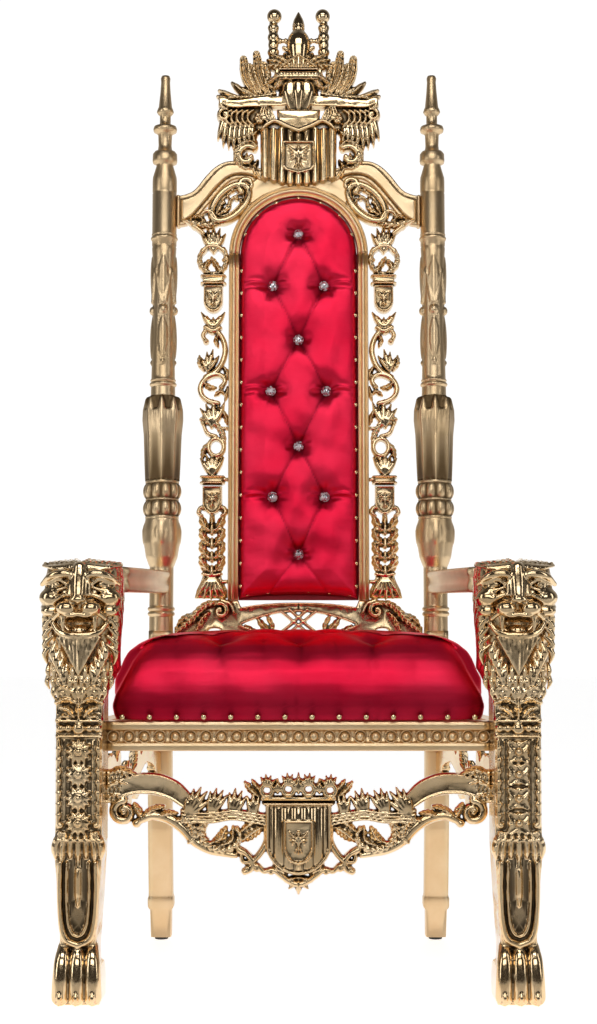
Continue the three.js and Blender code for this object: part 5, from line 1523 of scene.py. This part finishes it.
# ---------- studio ----------
# A pale floor that is brighter behind the throne, a wide soft box in front, one overhead and a strip on each side.
# The camera stands low in front with a long lens.
CAMERA_DISTANCE = 2.882
CAMERA_HEIGHT = 0.664
CAMERA_PITCH = 2.866
LENS = 61.8


def softbox(name, place, aim, size, watts):
    lamp = bpy.data.lights.new(name, "AREA")
    lamp.shape = "RECTANGLE"
    lamp.size, lamp.size_y = size
    lamp.energy = watts
    made = bpy.data.objects.new(name, lamp)
    bpy.context.scene.collection.objects.link(made)
    made.location = place
    toward = [a - p for a, p in zip(aim, place)]
    made.rotation_euler = Vector(toward).to_track_quat("-Z", "Y").to_euler()


paper = Finish("pale_floor", {"Roughness": 0.6, "Specular IOR Level": 0.2, "Emission Strength": 1.0})
paper.feed("Base Color", paper.noise(3.0).between(0.3, 0.7).blend((0.88, 0.88, 0.88, 1), (0.90, 0.90, 0.895, 1)))
rear = paper.tree.node("SeparateXYZ", {}, {"Vector": paper.place}, 1)
paper.feed("Emission Color", rear.between(-0.6, -0.35).blend((0.02, 0.02, 0.02, 1), (0.78, 0.78, 0.78, 1)))
floor = add_mesh("floor", [(-9000, -6000, 0), (9000, -6000, 0), (9000, 12000, 0), (-9000, 12000, 0)],
                 np.array([[0, 1, 2, 3]]), paper.material)

world = bpy.data.worlds.new("studio")
world.use_nodes = True
bpy.context.scene.world = world
sky = Socket(world.node_tree)
way = sky.node("TexCoord", output=0)
ahead = sky.node("SeparateXYZ", {}, {"Vector": way}, 1)
around = ahead.between(-0.2, 0.75).blend((0.035, 0.032, 0.03, 1), (0.33, 0.33, 0.33, 1))
glow = ahead.between(0.80, 0.92).blend(around, (1.05, 1.05, 1.05, 1))
background = world.node_tree.nodes["Background"]
world.node_tree.links.new(glow.socket, background.inputs["Color"])
background.inputs["Strength"].default_value = 1.0

softbox("key", (0, -3.5, 1.95), (0, 0, 1.2), (3.0, 1.15), 27)
softbox("top", (0, -2.1, 3.1), (0, 0, 0.8), (2.4, 0.7), 20)
softbox("left_strip", (-2.5, -1.5, 1.4), (0, 0, 0.9), (0.6, 2.4), 11)
softbox("right_strip", (2.6, -1.4, 1.4), (0, 0, 0.9), (0.5, 2.4), 8)

lens = bpy.data.cameras.new("camera")
lens.sensor_fit = "VERTICAL"
lens.sensor_height = 36
lens.lens = LENS
camera = bpy.data.objects.new("camera", lens)
bpy.context.scene.collection.objects.link(camera)
camera.location = (0, FRONT / 1000 - CAMERA_DISTANCE, CAMERA_HEIGHT)
camera.rotation_euler = (math.radians(90 + CAMERA_PITCH), 0, 0)
bpy.context.scene.camera = camera
bpy.context.scene.view_settings.view_transform = "Standard"
